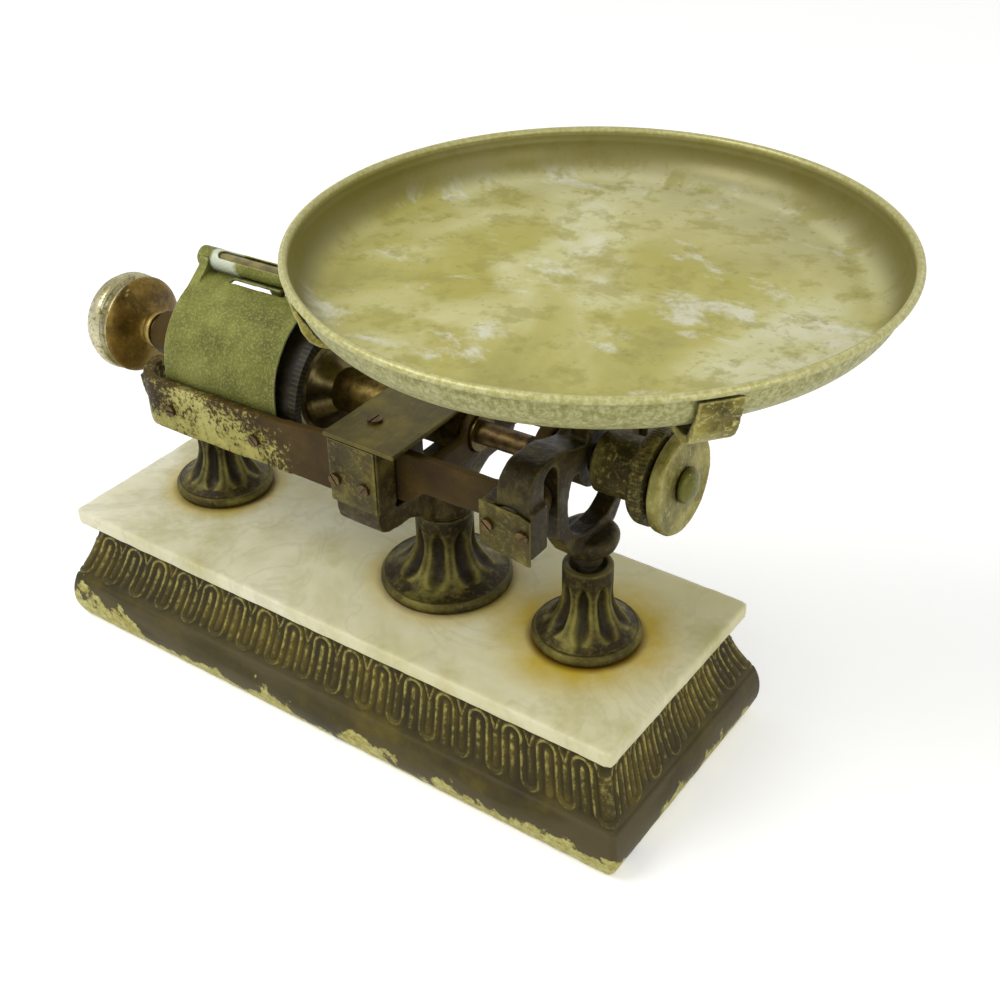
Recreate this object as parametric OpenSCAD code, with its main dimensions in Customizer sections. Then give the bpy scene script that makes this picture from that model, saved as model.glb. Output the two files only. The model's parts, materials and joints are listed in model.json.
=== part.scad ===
// Counter balance with a micrometer poise drum, on a marble slab and an ornamental cast iron base.
// The beam rocks on knife edges in a yoke, and a second pair of knife edges carries the pan.

/* [Slab and base] */
// Length of the marble slab
slab_l = 304.8; // [290:1:340]
// Depth of the slab from front to back
slab_w = 116.6; // [112:1:140]
// Thickness of the slab
slab_t = 7.6; // [6:0.1:12]
// Radius of the slab's upright corners
slab_corner_r = 3; // [1:0.5:8]
// Height of the base casting
base_h = 55.9; // [50:0.1:70]
// Height of the plain plinth band
plinth_h = 25; // [18:0.5:30]
// How far the plinth stands out past the slab
plinth_proud = 6.8; // [3:0.1:10]
// How far the top of the base stands back under the slab
base_inset = 6.5; // [3:0.1:10]
// Wall of the base casting
base_wall = 5; // [3:0.5:7]
// Width of the ledge that carries the slab
ledge_w = 12; // [8:1:16]
// Thickness of the ledge
ledge_t = 5; // [3:0.5:7]

/* [Pedestals] */
// Place of the left pedestal along the slab, from the middle of the slab
left_x = -107; // [-112:0.5:-103]
// Place of the middle pedestal
middle_x = 29.8; // [26:0.5:34]
// Place of the right pedestal, under the pan
right_x = 104.2; // [102:0.2:106]
// Height of the middle and right pedestals
pedestal_h = 38; // [36:0.5:38.5]
// Foot radius of the left and right pedestals
small_foot_r = 23.8; // [20:0.2:26]
// Foot radius of the middle pedestal
middle_foot_r = 29.8; // [26:0.2:34]
// Neck radius of the left and right pedestals
small_neck_r = 10.8; // [10.4:0.1:12]
// Neck radius of the middle pedestal
middle_neck_r = 13; // [11:0.1:15]
// Height of the ring round each foot
foot_ring_h = 5; // [3:0.5:7]
// Number of flutes round a pedestal
flute_count = 8; // [6:1:12]
// Radius of a flute's hollow
flute_r = 3.4; // [2:0.1:4.5]
// Depth of a flute
flute_depth = 1.8; // [1:0.1:2]
// Bore of the right pedestal, where the stem passes
stem_bore_r = 8; // [7.4:0.1:8.6]

/* [Beam] */
// Place of the fulcrum knife edge along the slab
fulcrum_x = 22; // [20:0.5:24]
// Distance from the fulcrum to the load knife edge
load_arm = 76; // [74:0.5:77]
// Height of the knife edges above the table
knife_z = 145.5; // [144:0.5:150]
// Tilt at rest, left end down on its pad
rest_tilt = 2; // [1:0.1:2.4]
// Tilt to the other stop, from level
far_tilt = 2.5; // [1:0.1:2.5]
// Half width of the loop round the drum, outside
loop_half = 42; // [42:0.5:46]
// Thickness of the loop's bar
loop_t = 5; // [4:0.5:6]
// Height of the loop's bar
loop_h = 24.5; // [20:0.5:26]
// Height of the loop's top edge over the knife edges
loop_rise = 3; // [1:0.5:4]
// Outer face of the loop's left end
loop_end_x = -116; // [-120:0.5:-114]
// Radius of the loop's corners, outside
loop_corner_r = 18; // [10:1:20]
// Half width of the two load arms, outside
arm_half = 36.5; // [36:0.25:37]
// Thickness of a load arm
arm_t = 4.5; // [4:0.25:6]
// Inner face of the slots that the knife bosses hang in
slot_inner = 28; // [27:0.25:28.5]
// Height of a load arm
arm_h = 17.5; // [15:0.5:18]
// Height of a load arm's top over the knife edges
arm_rise = 5.3; // [5:0.1:5.8]

/* [Drum and knob] */
// Outer radius of the poise drum
drum_r = 33; // [30:0.5:33.5]
// Length of the drum
drum_len = 23.5; // [21:0.5:24]
// Right hand rim of the drum, at its zero
drum_x = -21.5; // [-23:0.5:-20]
// Wall of the drum
drum_wall = 3; // [2:0.25:4]
// Width of the graduated band
band_w = 9.5; // [6:0.5:12]
// Thickness of the graduated band
band_t = 0.6; // [0.4:0.1:1]
// Radius of the drum's hub
hub_r = 9.7; // [8.5:0.1:11]
// Radius of the screw
screw_r = 5; // [4:0.25:5.5]
// Radius of the spindle's journal
journal_r = 7.5; // [6.5:0.25:8]
// Travel of the drum for one turn
screw_lead = 9; // [6:0.5:9.25]
// Turns from one end of the travel to the other
drum_turns = 3; // [2:1:4]
// Radius of the knob's rim
knob_r = 23.5; // [18:0.5:26]
// Length of the knob
knob_len = 35; // [32:0.5:42]
// Length of the knob's cap
knob_face_len = 22; // [18:0.5:24]
// Radius of the boss that carries the journal
journal_boss_r = 10.5; // [10:0.25:13]
// How far that boss stands out of the loop's end
journal_boss_len = 18; // [14:0.5:20]
// Radius of the screw's long nut
barrel_r = 10.2; // [9:0.1:10.4]

/* [Drum cover and level] */
// Outer radius of the cover's arch
cover_r = 36.9; // [36.6:0.1:37]
// Thickness of the cover
cover_t = 1.5; // [1:0.1:2]
// Left edge of the cover
cover_x = -95.5; // [-97:0.5:-95]
// Length of the cover
cover_len = 65.5; // [62:0.5:66]
// Height of the arch's centre over the knife edges
cover_rise = 5.5; // [4:0.25:7]
// Width of the index slot
slot_w = 3; // [2:0.1:4]
// Lean of the index slot from upright, in degrees
slot_lean = 8; // [7.5:0.5:12]
// Outer radius of the level's case
level_r = 4.8; // [4:0.1:6]
// Wall of the level's case
level_wall = 1; // [0.6:0.1:1.4]
// Length of the plaster at each end of the level
plaster_len = 10; // [6:0.5:14]

/* [Balance weights] */
// Height of the balance stud over the knife edges
stud_rise = 5.7; // [5:0.1:6.5]
// Radius of the balance stud
stud_r = 4; // [3:0.25:4.5]
// Left end of the balance weight
weight_x = 111; // [110.5:0.25:113]
// Radius of the balance weight's hub
weight_hub_r = 13; // [10:0.5:15]
// Length of the hub
weight_hub_len = 20; // [16:0.5:22]
// Radius of the knurled flange
weight_flange_r = 20; // [17:0.5:21]
// Width of the knurled flange
weight_flange_w = 8.5; // [6:0.5:9]
// Number of grooves in the knurl
knurl_count = 72; // [48:4:96]
// Radius of the locking disc
lock_r = 21.2; // [17:0.2:22]
// Width of the locking disc
lock_w = 6.5; // [5:0.5:8]
// Radius of the domed nut
dome_r = 7.25; // [6:0.25:10]

/* [Yoke and bearings] */
// Outer face of the fulcrum boxes, from the middle
yoke_half = 51; // [50:0.5:54]
// Width of a fulcrum box along the beam
yoke_w = 24.5; // [22:0.5:26]
// Thickness of a box's screwed plate
plate_t = 1.2; // [0.8:0.1:2]
// Radius of a bearing steel
steel_r = 6; // [5:0.25:6.5]
// Half angle of the bearing's vee, in degrees
vee_half = 58; // [52:1:62]
// Half width of a knife
knife_half = 2.5; // [2:0.1:3]
// Height of a knife
knife_h = 5; // [4.4:0.1:5.2]
// Thickness of the tie strip
strip_t = 1.8; // [1:0.1:3]
// Width of the tie strip along the beam
strip_w = 36; // [28:1:38]

/* [Pan and its carrier] */
// Outer face of the load boxes, from the middle
carrier_half = 50; // [49:0.5:53]
// Width of a load box along the beam
load_box_w = 23.5; // [22:0.5:25]
// Outer radius of the pan
pan_r = 114.4; // [104:0.2:120]
// Height of the pan's rim above the table, with the beam level
pan_rim_z = 243.9; // [240:0.1:250]
// Depth of the pan
pan_depth = 19; // [16:0.5:24]
// Thickness of the pan's sheet
pan_t = 0.9; // [0.7:0.1:1.5]
// Radius of the pan's rounded corner
pan_corner_r = 14.5; // [12:0.5:15]
// How far the pan's wall leans in from the rim to the corner
pan_taper = 1.9; // [0:0.1:3]
// Offset of the pan's centre from the stem
pan_offset = 1.2; // [0:0.1:1.5]
// Radius of the pan's rolled rim
pan_bead_r = 1.6; // [1.2:0.1:2.2]
// Angle of the spider's first arm from the beam's line, in degrees
spider_angle = 51; // [40:1:55]
// Width of a spider arm
spider_w = 15.5; // [10:0.5:18]
// Thickness of a spider arm
spider_t = 3.8; // [3.4:0.2:5]
// Drop of the spider arms under the pan
spider_drop = 2.4; // [2.2:0.1:4]
// Radius of the carrier's ring boss
ring_boss_r = 12.5; // [11:0.25:13]
// Radius of the stem
stem_r = 4; // [3:0.25:5]
// Height of the check rod's pins above the table, with the beam level
check_z = 20; // [16:0.5:24]

/* [Fits] */
// Clearance of a running fit, on the radius
run_gap = 0.05; // [0.02:0.01:0.1]
// Clearance between pieces that seat on each other
seat_gap = 0.05; // [0.02:0.01:0.1]
// Space between the pan and the nut under its floor
pan_clear = 0.3; // [0.2:0.05:0.6]
// Gap under the beam at its rest
rest_gap = 0.3; // [0.2:0.05:0.4]
// Clearance of a knife edge in its bearing
edge_gap = 0.2; // [0.1:0.05:0.3]

/* [Hidden] */
$fn = 72;
eps = 0.01;

// Heights of the stand
slab_z = base_h;
slab_top = slab_z + slab_t;
pedestal_top = slab_top + pedestal_h;
ledge_z = base_h - ledge_t;

// Stations of the beam
load_x = fulcrum_x + load_arm;
stud_z = knife_z + stud_rise;
arm_in = arm_half - arm_t;
loop_in = loop_half - loop_t;
loop_top = knife_z + loop_rise;
arm_top = knife_z + arm_rise;
brow_z = knife_z + 6;
neck_x = fulcrum_x - 20;
neck_len = 7;
barrel_end_x = fulcrum_x + 24;
screw_end_x = fulcrum_x + 54;
barrel_web_t = 5;
stud_web_t = 6;
knife_boss_r = 7.5;
knife_boss_in = slot_inner + 0.5;

stud_web_x = load_x - 16;
cradle_w = 12;
cradle_wall = 2.6;
cradle_r = loop_in + 0.6;

// Drum and knob, at the drum's zero
drum_left = drum_x - drum_len;
drum_travel = screw_lead * drum_turns;
drum_end_t = 2;
bell_t = 1.6;
journal_x = loop_end_x - journal_boss_len;
journal_in_x = loop_end_x + loop_t + 3;
knob_x = journal_x - 3;
bush_t = 2;
barrel_x = drum_x + 2.5;
follower_t = 2.5;
follower_x = drum_left - 1.5 - follower_t;
collar_t = 3;
follower_r = hub_r;

// Cover and level
cover_z = knife_z + cover_rise;
cover_in_r = cover_r - cover_t;
cover_skirt = knife_z - 15;
cover_screw_z = knife_z - 10;
cover_screw_in = 5.5;
rib_w = 7.5;
level_z = cover_z + cover_r + level_r - 0.4;
level_over = 3;
level_x = cover_x - level_over;
level_len = cover_len + 2 * level_over;
level_window_w = 5.4;

// Yoke
yoke_x = fulcrum_x - 11;
yoke_slot_in = slot_inner;
yoke_slot_out = arm_half + 1;
yoke_inner = yoke_slot_in - 9.5;
yoke_top = brow_z + 5.5;
yoke_slot_top = brow_z + 3;
yoke_slot_z = knife_z - 21.8;
yoke_box_z = knife_z - 19;
yoke_foot_z = pedestal_top;
yoke_sill_z = knife_z - 25.3;
bearing_end = 1;

// Screws
screw_head_r = 2.7;
screw_head_h = 1.3;
screw_shank_r = 1.4;
screw_shank_l = 6;
screw_slot_w = 0.7;

// Carrier
box_x = load_x - 12.5;
box_top = brow_z;
box_h = 22.5;
ring_x = load_x;
arch_x = load_x - 5.5;
arch_w = 15;
slot_in = slot_inner;
slot_out = arm_half + 1;
slot_round_r = (slot_out - slot_in) / 2;
leg_in = 20;
ring_open_z = knife_z - 27.3;
bowl_z = ring_open_z - 4.7;
bowl_r = 13.2;
bowl_top = 3.6;
bowl_bottom = pedestal_top + load_arm * sin(far_tilt) + 0.45;
stem_neck_r = stem_bore_r - 1.5;
stem_neck_l = 6;
boss_bore_r = stud_r + 2.5;
arch_shoulder_r = 12.5;
arch_shoulder_y = carrier_half - plate_t - seat_gap - arch_shoulder_r;
arch_shoulder_z = brow_z + 3.5;
slot_top_z = brow_z + 7;

// Pan and spider
pan_floor_z = pan_rim_z - pan_depth;
pan_x = right_x + pan_offset;
pan_wall_r = pan_r - pan_bead_r;
pan_arc_r = pan_wall_r - pan_taper - pan_corner_r;
pan_arc_z = pan_floor_z + pan_corner_r;
spider_top = pan_floor_z - spider_drop;
spider_hub_r = 15;
lug_gap = 0.3;
lug_t = 2.2;
lug_top = pan_rim_z - 2 * pan_bead_r - 0.5;
column_r = 7;

// Hold down parts and check rod
clamp_w = 20;
clamp_t = 5;
clamp_z = ledge_z - clamp_t;
clamp_half = slab_w / 2 - base_inset - base_wall - 1.5;
hold_stud_r = 4;
nut_r = 8;
nut_h = 6.5;
ring_nut_r = 15;
shank_r = stem_bore_r + 1.8;
anchor_x = right_x - load_arm;
bracket_t = 3;
check_t = 4;
check_eye_r = 5;
check_pin_r = 2;
fork_w = 12;
fork_r = 6;
fork_top = 14;

// Pose at rest: the beam leans left end down, and the carrier is as much higher
rest_lift = load_arm * sin(rest_tilt);
rest_shift = load_arm * (cos(rest_tilt) - 1);
left_reach = fulcrum_x + (knob_x - knob_len - fulcrum_x) * cos(rest_tilt);
right_reach = pan_x + rest_shift + pan_r;
frame_x = -(left_reach + right_reach) / 2;

// The pad's seat follows the lowest line of the cradle at rest
cradle_low = knife_z - cradle_r * cos(rest_tilt) + (left_x + cradle_w / 2 - fulcrum_x) * sin(rest_tilt)
    - cradle_w * sin(rest_tilt);
pad_t = 2;
left_top = cradle_low - rest_gap - pad_t;

// Puts a piece that is drawn from the middle of the slab into the frame
module in_frame() {
    translate([frame_x, 0, 0]) children();
}

// Leans the beam to its rest about the fulcrum knife edge
module on_beam() {
    in_frame() translate([fulcrum_x, 0, knife_z]) rotate([0, -rest_tilt, 0])
        translate([-fulcrum_x, 0, -knife_z]) children();
}

// Lifts the carrier to its place at rest
module on_carrier() {
    in_frame() translate([rest_shift, 0, rest_lift]) children();
}

module both_sides() {
    children();
    mirror([0, 1, 0]) children();
}

module block(x0, x1, y0, y1, z0, z1) {
    translate([x0, y0, z0]) cube([x1 - x0, y1 - y0, z1 - z0]);
}

module rod_x(r, x0, x1, z, y = 0) {
    translate([x0, y, z]) rotate([0, 90, 0]) cylinder(r = r, h = x1 - x0);
}

module rod_y(r, y0, y1, x, z) {
    translate([x, y0, z]) rotate([-90, 0, 0]) cylinder(r = r, h = y1 - y0);
}

module rod_z(r, x, z0, z1, y = 0) {
    translate([x, y, z0]) cylinder(r = r, h = z1 - z0);
}

// Turns a profile of [distance along the axis, radius] about a line along X
module turned_x(points, z) {
    translate([0, 0, z]) rotate([0, 90, 0]) rotate_extrude()
        polygon([for (p = points) [p[1], p[0]]]);
}

// Upright slab of a profile of [y, z] points, from x0 to x1
module plate_yz(points, x0, x1) {
    translate([x0, 0, 0]) rotate([90, 0, 90]) linear_extrude(x1 - x0) polygon(points);
}

// A profile of [x, z] points, from y0 to y1
module plate_xz(points, y0, y1) {
    translate([0, y1, 0]) rotate([90, 0, 0]) linear_extrude(y1 - y0) polygon(points);
}

// A slotted screw whose head lies on the plane y = 0 and points along -Y
module slotted_screw() {
    difference() {
        union() {
            rotate([90, 0, 0]) cylinder(r = screw_head_r, h = screw_head_h, $fn = 32);
            rotate([-90, 0, 0]) cylinder(r = screw_shank_r, h = screw_shank_l, $fn = 24);
        }
        translate([-screw_slot_w / 2, -screw_head_h - eps, -screw_head_r - 1])
            cube([screw_slot_w, screw_head_h / 2, 2 * screw_head_r + 2]);
    }
}

module screw_hole() {
    translate([0, -1, 0]) rotate([-90, 0, 0])
        cylinder(r = screw_shank_r + seat_gap, h = screw_shank_l + 1.5, $fn = 24);
}

// How far the base stands out past the slab at height z: a rolled plinth, then a hollow moulding
function base_reach(z) =
    z <= plinth_h
        ? plinth_proud - 3.8 * pow(1 - z / plinth_h * 2, 2) * (z < plinth_h / 2 ? 1 : 0.6)
        : hollow_start - (hollow_start + base_inset) * sin(90 * (z - plinth_h) / (base_h - plinth_h));
hollow_start = plinth_proud - 3;
plinth_steps = 8;
hollow_steps = 10;
base_levels = [for (i = [0 : plinth_steps]) plinth_h * i / plinth_steps,
    for (i = [1 : hollow_steps]) plinth_h + (base_h - plinth_h) * i / hollow_steps];

function mould_side(half, top, inner) = [
    for (z = base_levels) if (z < top) [half + base_reach(z) - inner, z],
    [half + base_reach(top) - inner, top]];

function mould_outline(half, top, inner) = concat(
    mould_side(half, top, inner),
    [for (i = [len(mould_side(half, top, inner)) - 1 : -1 : 0])
        [-mould_side(half, top, inner)[i][0], mould_side(half, top, inner)[i][1]]]);

// A rectangular moulding with mitred corners, up to a given height
module mitred(top, inner) {
    intersection() {
        plate_xz(mould_outline(slab_l / 2, top, inner), -slab_w, slab_w);
        plate_yz(mould_outline(slab_w / 2, top, inner), -slab_l, slab_l);
    }
}

module base_casting() {
    shelf_x = slab_l / 2 - base_inset - ledge_w;
    shelf_y = slab_w / 2 - base_inset - ledge_w;
    color("#4b452c") in_frame() difference() {
        mitred(base_h, 0);
        translate([0, 0, -eps]) mitred(ledge_z, base_wall);
        block(-shelf_x, shelf_x, -shelf_y, shelf_y, ledge_z - 1, base_h + 1);
    }
}

module marble_slab() {
    l = slab_l / 2;
    w = slab_w / 2;
    r = slab_corner_r;
    color("#e4e2cf") in_frame() difference() {
        union() {
            block(-l + r, l - r, -w, w, slab_z, slab_top);
            block(-l, l, -w + r, w - r, slab_z, slab_top);
            for (sx = [-1, 1], sy = [-1, 1])
                rod_z(r, sx * (l - r), slab_z, slab_top, sy * (w - r));
        }
        for (x = [left_x, middle_x])
            rod_z(hold_stud_r + seat_gap, x, slab_z - 1, slab_top + 1);
        rod_z(shank_r + seat_gap, right_x, slab_z - 1, slab_top + 1);
    }
}

// A trumpet foot: straight neck, one hollow arc and a ring, with flutes that follow the arc
module trumpet(foot_r, neck_r, height) {
    flare_r = foot_r - 2;
    flare_h = 19;
    arc_z = foot_ring_h + flare_h;
    arc_c = (flare_r * flare_r + flare_h * flare_h - neck_r * neck_r) / (2 * (flare_r - neck_r));
    arc_r = arc_c - neck_r;
    arc_end = asin(flare_h / arc_r);
    arc_steps = 12;
    difference() {
        rotate_extrude() polygon(concat(
            [[0, 0], [foot_r - 0.6, 0], [foot_r, 1], [foot_r, foot_ring_h - 1.2],
                [flare_r + 0.8, foot_ring_h]],
            [for (i = [0 : arc_steps]) let (a = arc_end * (1 - i / arc_steps))
                [arc_c - arc_r * cos(a), arc_z - arc_r * sin(a)]],
            [[neck_r, height - 0.8], [neck_r - 0.8, height], [0, height]]));
        for (i = [0 : flute_count - 1]) rotate([0, 0, (i + 0.5) * 360 / flute_count])
            translate([arc_c, 0, arc_z]) rotate([90, 0, 0]) rotate_extrude($fn = 96)
                translate([arc_r - flute_r + flute_depth, 0]) circle(r = flute_r, $fn = 24);
    }
}

module left_pedestal() {
    color("#5a5136") in_frame() difference() {
        translate([left_x, 0, slab_top]) trumpet(small_foot_r, small_neck_r, left_top - slab_top);
        rod_z(hold_stud_r + seat_gap, left_x, slab_top - 1, slab_top + 16);
    }
}

module middle_pedestal() {
    color("#564d33") in_frame() difference() {
        translate([middle_x, 0, slab_top]) trumpet(middle_foot_r, middle_neck_r, pedestal_h);
        rod_z(hold_stud_r + seat_gap, middle_x, slab_top - 1, pedestal_top + 1);
    }
}

module right_pedestal() {
    color("#5a5136") in_frame() difference() {
        union() {
            translate([right_x, 0, slab_top]) trumpet(small_foot_r, small_neck_r, pedestal_h);
            rod_z(shank_r, right_x, clamp_z - nut_h - 1, slab_top + 1);
        }
        rod_z(stem_bore_r, right_x, clamp_z - nut_h - 2, pedestal_top + 1);
    }
}

module rest_pad() {
    color("#3a2f22") in_frame() rod_z(small_neck_r - 2, left_x, left_top, left_top + pad_t);
}

module clamp_bars() {
    color("#45402f") in_frame() for (x = [left_x, middle_x, right_x]) difference() {
        w = x == right_x ? clamp_w + 10 : clamp_w;
        block(x - w / 2, x + w / 2, -clamp_half, clamp_half, clamp_z, ledge_z - seat_gap);
        rod_z((x == right_x ? shank_r : hold_stud_r) + seat_gap, x, clamp_z - 1, ledge_z + 1);
    }
}

module hold_down_studs() {
    low = clamp_z - bracket_t - nut_h - 2;
    color("#6f6a5a") in_frame() {
        rod_z(hold_stud_r, left_x, low + bracket_t, slab_top + 15);
        rod_z(hold_stud_r, middle_x, low, yoke_sill_z - 2);
    }
}

module hold_down_nuts() {
    color("#5d5747") in_frame() for (p = [[left_x, clamp_z], [middle_x, clamp_z - bracket_t]]) difference() {
        translate([p[0], 0, p[1] - nut_h - seat_gap]) cylinder(r = nut_r, h = nut_h, $fn = 6);
        rod_z(hold_stud_r + seat_gap, p[0], p[1] - nut_h - 1, p[1] + 1);
    }
}

module ring_nut() {
    color("#5d5747") in_frame() difference() {
        translate([right_x, 0, clamp_z - nut_h - seat_gap]) cylinder(r = ring_nut_r, h = nut_h, $fn = 6);
        rod_z(shank_r + seat_gap, right_x, clamp_z - nut_h - 1, clamp_z + 1);
    }
}

// Hanger for the check rod, clamped under the middle bar by the same nut
module check_bracket() {
    cheek_in = check_t / 2 + 0.3;
    half = 10;
    color("#4a4433") in_frame() difference() {
        union() {
            block(middle_x - half, middle_x + half, -half, half, clamp_z - bracket_t, clamp_z - seat_gap);
            both_sides() block(middle_x - half, anchor_x + check_eye_r, half - bracket_t, half,
                check_z - check_eye_r, clamp_z - bracket_t + 1);
            both_sides() rod_y(check_eye_r, cheek_in, half, anchor_x, check_z);
        }
        rod_z(hold_stud_r + seat_gap, middle_x, clamp_z - bracket_t - 1, clamp_z + 1);
        rod_y(check_pin_r + seat_gap, -half - 1, half + 1, anchor_x, check_z);
    }
}

module check_bracket_pin() {
    color("#8a8472") in_frame() rod_y(check_pin_r, -11, 11, anchor_x, check_z);
}

// Link that keeps the stem upright, as long as the load arm
module check_rod() {
    color("#5c5644") in_frame() translate([anchor_x, 0, check_z]) rotate([0, -rest_tilt, 0]) difference() {
        union() {
            block(0, load_arm, -check_t / 2, check_t / 2, -2.5, 2.5);
            rod_y(check_eye_r, -check_t / 2, check_t / 2, 0, 0);
            rod_y(check_eye_r - 1, -check_t / 2, check_t / 2, load_arm, 0);
        }
        for (x = [0, load_arm]) rod_y(check_pin_r + run_gap, -check_t, check_t, x, 0);
    }
}

// Lower outline of the yoke's cross bar, one side, from the middle out to the box
function yoke_side() = let (out = yoke_half - plate_t - seat_gap) [[0, yoke_foot_z + seat_gap],
    [middle_neck_r, yoke_foot_z + seat_gap], [19.6, yoke_sill_z - 12.6], [24, yoke_sill_z - 9.4],
    [29, yoke_sill_z - 7.2], [37, yoke_sill_z - 6.9], [43, yoke_sill_z - 6], [46.8, yoke_sill_z - 4.2],
    [49, yoke_sill_z - 1.6], [out, yoke_sill_z + 2], [out, yoke_box_z + 1]];

// Two walled uprights on a cross bar: each pair of walls straddles one arm of the beam
module fulcrum_yoke() {
    x1 = yoke_x + yoke_w;
    wall_out = yoke_half - plate_t - seat_gap;
    color("#5b4f2b") in_frame() difference() {
        union() {
            both_sides() block(yoke_x, x1, yoke_inner, wall_out, yoke_box_z, yoke_top);
            both_sides() plate_yz(concat(yoke_side(), [[yoke_inner, yoke_box_z + 1],
                [yoke_inner, yoke_sill_z], [0, yoke_sill_z]]), yoke_x + 1.5, x1 - 0.8);
            rod_z(middle_neck_r, middle_x, yoke_foot_z + seat_gap, yoke_sill_z - 6);
        }
        both_sides() block(yoke_x - 1, x1 + 1, yoke_slot_in, yoke_slot_out, yoke_slot_z, yoke_slot_top);
        both_sides() rod_y(steel_r + seat_gap, yoke_inner - 1, wall_out + 1, fulcrum_x, knife_z);
        rod_z(hold_stud_r + seat_gap, middle_x, yoke_foot_z - 1, yoke_sill_z - 2 + seat_gap);
        both_sides() for (dx = yoke_screws)
            translate([fulcrum_x + dx, -wall_out, knife_z - 7.5]) screw_hole();
        both_sides() rod_z(screw_shank_r + seat_gap, fulcrum_x, yoke_top - strip_screw_l, yoke_top + 1,
            strip_screw_y);
    }
}

yoke_screws = [-7.5, 7.5];
strip_screw_l = 2.2;
strip_screw_y = (yoke_slot_in + yoke_slot_out) / 2;

module tie_strip() {
    x0 = yoke_x - 1.5;
    color("#8c7f45") in_frame() difference() {
        block(x0, x0 + strip_w, -yoke_half, yoke_half, yoke_top + seat_gap, yoke_top + seat_gap + strip_t);
        both_sides() rod_z(screw_shank_r + seat_gap, fulcrum_x, yoke_top - 1, yoke_top + strip_t + 1,
            strip_screw_y);
    }
}

module tie_strip_screws() {
    color("#4b4430") in_frame() both_sides()
        translate([fulcrum_x, strip_screw_y, yoke_top + strip_t + 2 * seat_gap]) difference() {
            union() {
                cylinder(r = screw_head_r + 0.5, h = screw_head_h, $fn = 32);
                translate([0, 0, -strip_t - strip_screw_l + 0.3])
                    cylinder(r = screw_shank_r, h = strip_t + strip_screw_l, $fn = 24);
            }
            translate([-screw_slot_w / 2, -5, screw_head_h / 2]) cube([screw_slot_w, 10, 2]);
        }
}

// A steel disc with a vee that opens upward from the knife line
module vee_steel(y0, y1, x) {
    reach = 12;
    difference() {
        rod_y(steel_r, y0, y1, x, knife_z);
        plate_xz([[x, knife_z], [x + reach * tan(vee_half), knife_z + reach],
            [x - reach * tan(vee_half), knife_z + reach]], y0 - 1, y1 + 1);
        block(x - reach, x + reach, y0 - 1, y1 + 1, knife_z + steel_r * 0.45, knife_z + reach);
    }
}

// The same steel with its vee downward, for the load side
module hanging_steel(y0, y1, x) {
    translate([0, 0, 2 * knife_z]) mirror([0, 0, 1]) vee_steel(y0, y1, x);
}

module fulcrum_bearings() {
    color("#77756b") in_frame() both_sides() {
        vee_steel(yoke_inner + 0.5, yoke_slot_in, fulcrum_x);
        vee_steel(yoke_slot_out, yoke_half - plate_t - seat_gap, fulcrum_x);
    }
}

module load_bearings() {
    color("#77756b") on_carrier() both_sides() {
        hanging_steel(leg_in + 1, slot_in, load_x);
        hanging_steel(slot_out, carrier_half - plate_t - seat_gap, load_x);
    }
}

module fulcrum_plates() {
    color("#6a6232") in_frame() both_sides() difference() {
        block(yoke_x + 0.4, yoke_x + yoke_w - 0.4, -yoke_half, -yoke_half + plate_t,
            yoke_box_z + 0.6, yoke_top - 0.4);
        for (dx = yoke_screws) translate([fulcrum_x + dx, -yoke_half, knife_z - 7.5]) screw_hole();
    }
}

module fulcrum_plate_screws() {
    color("#3f3a28") in_frame() both_sides() for (dx = yoke_screws)
        translate([fulcrum_x + dx, -yoke_half - seat_gap, knife_z - 7.5])
            rotate([0, dx * 5, 0]) slotted_screw();
}

// A knife bar: square back and one sharp edge on the knife line, edge down for up = 1
module knife_bar(x, y0, y1, up) {
    h = knife_h;
    k = knife_half;
    plate_xz([for (p = [[0, 0], [k, 3], [k, h], [-k, h], [-k, 3]]) [x + p[0], knife_z + up * p[1]]], y0, y1);
}

module fulcrum_knives() {
    color("#8b897f") on_beam() both_sides() translate([0, 0, edge_gap])
        knife_bar(fulcrum_x, yoke_inner + bearing_end, yoke_half - plate_t - bearing_end, 1);
}

module load_knives() {
    color("#8b897f") on_beam() both_sides() translate([0, 0, -edge_gap])
        knife_bar(load_x, leg_in + bearing_end + 1, carrier_half - plate_t - bearing_end, -1);
}

// Plan of the loop: a rectangle with rounded left corners, reaching to x = right
module loop_plan(left, right, half, r) {
    translate([left + r, -half]) square([right - left - r, 2 * half]);
    translate([left, -half + r]) square([r + 1, 2 * half - 2 * r]);
    for (s = [-1, 1]) translate([left + r, s * (half - r)]) circle(r = r);
}

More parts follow.
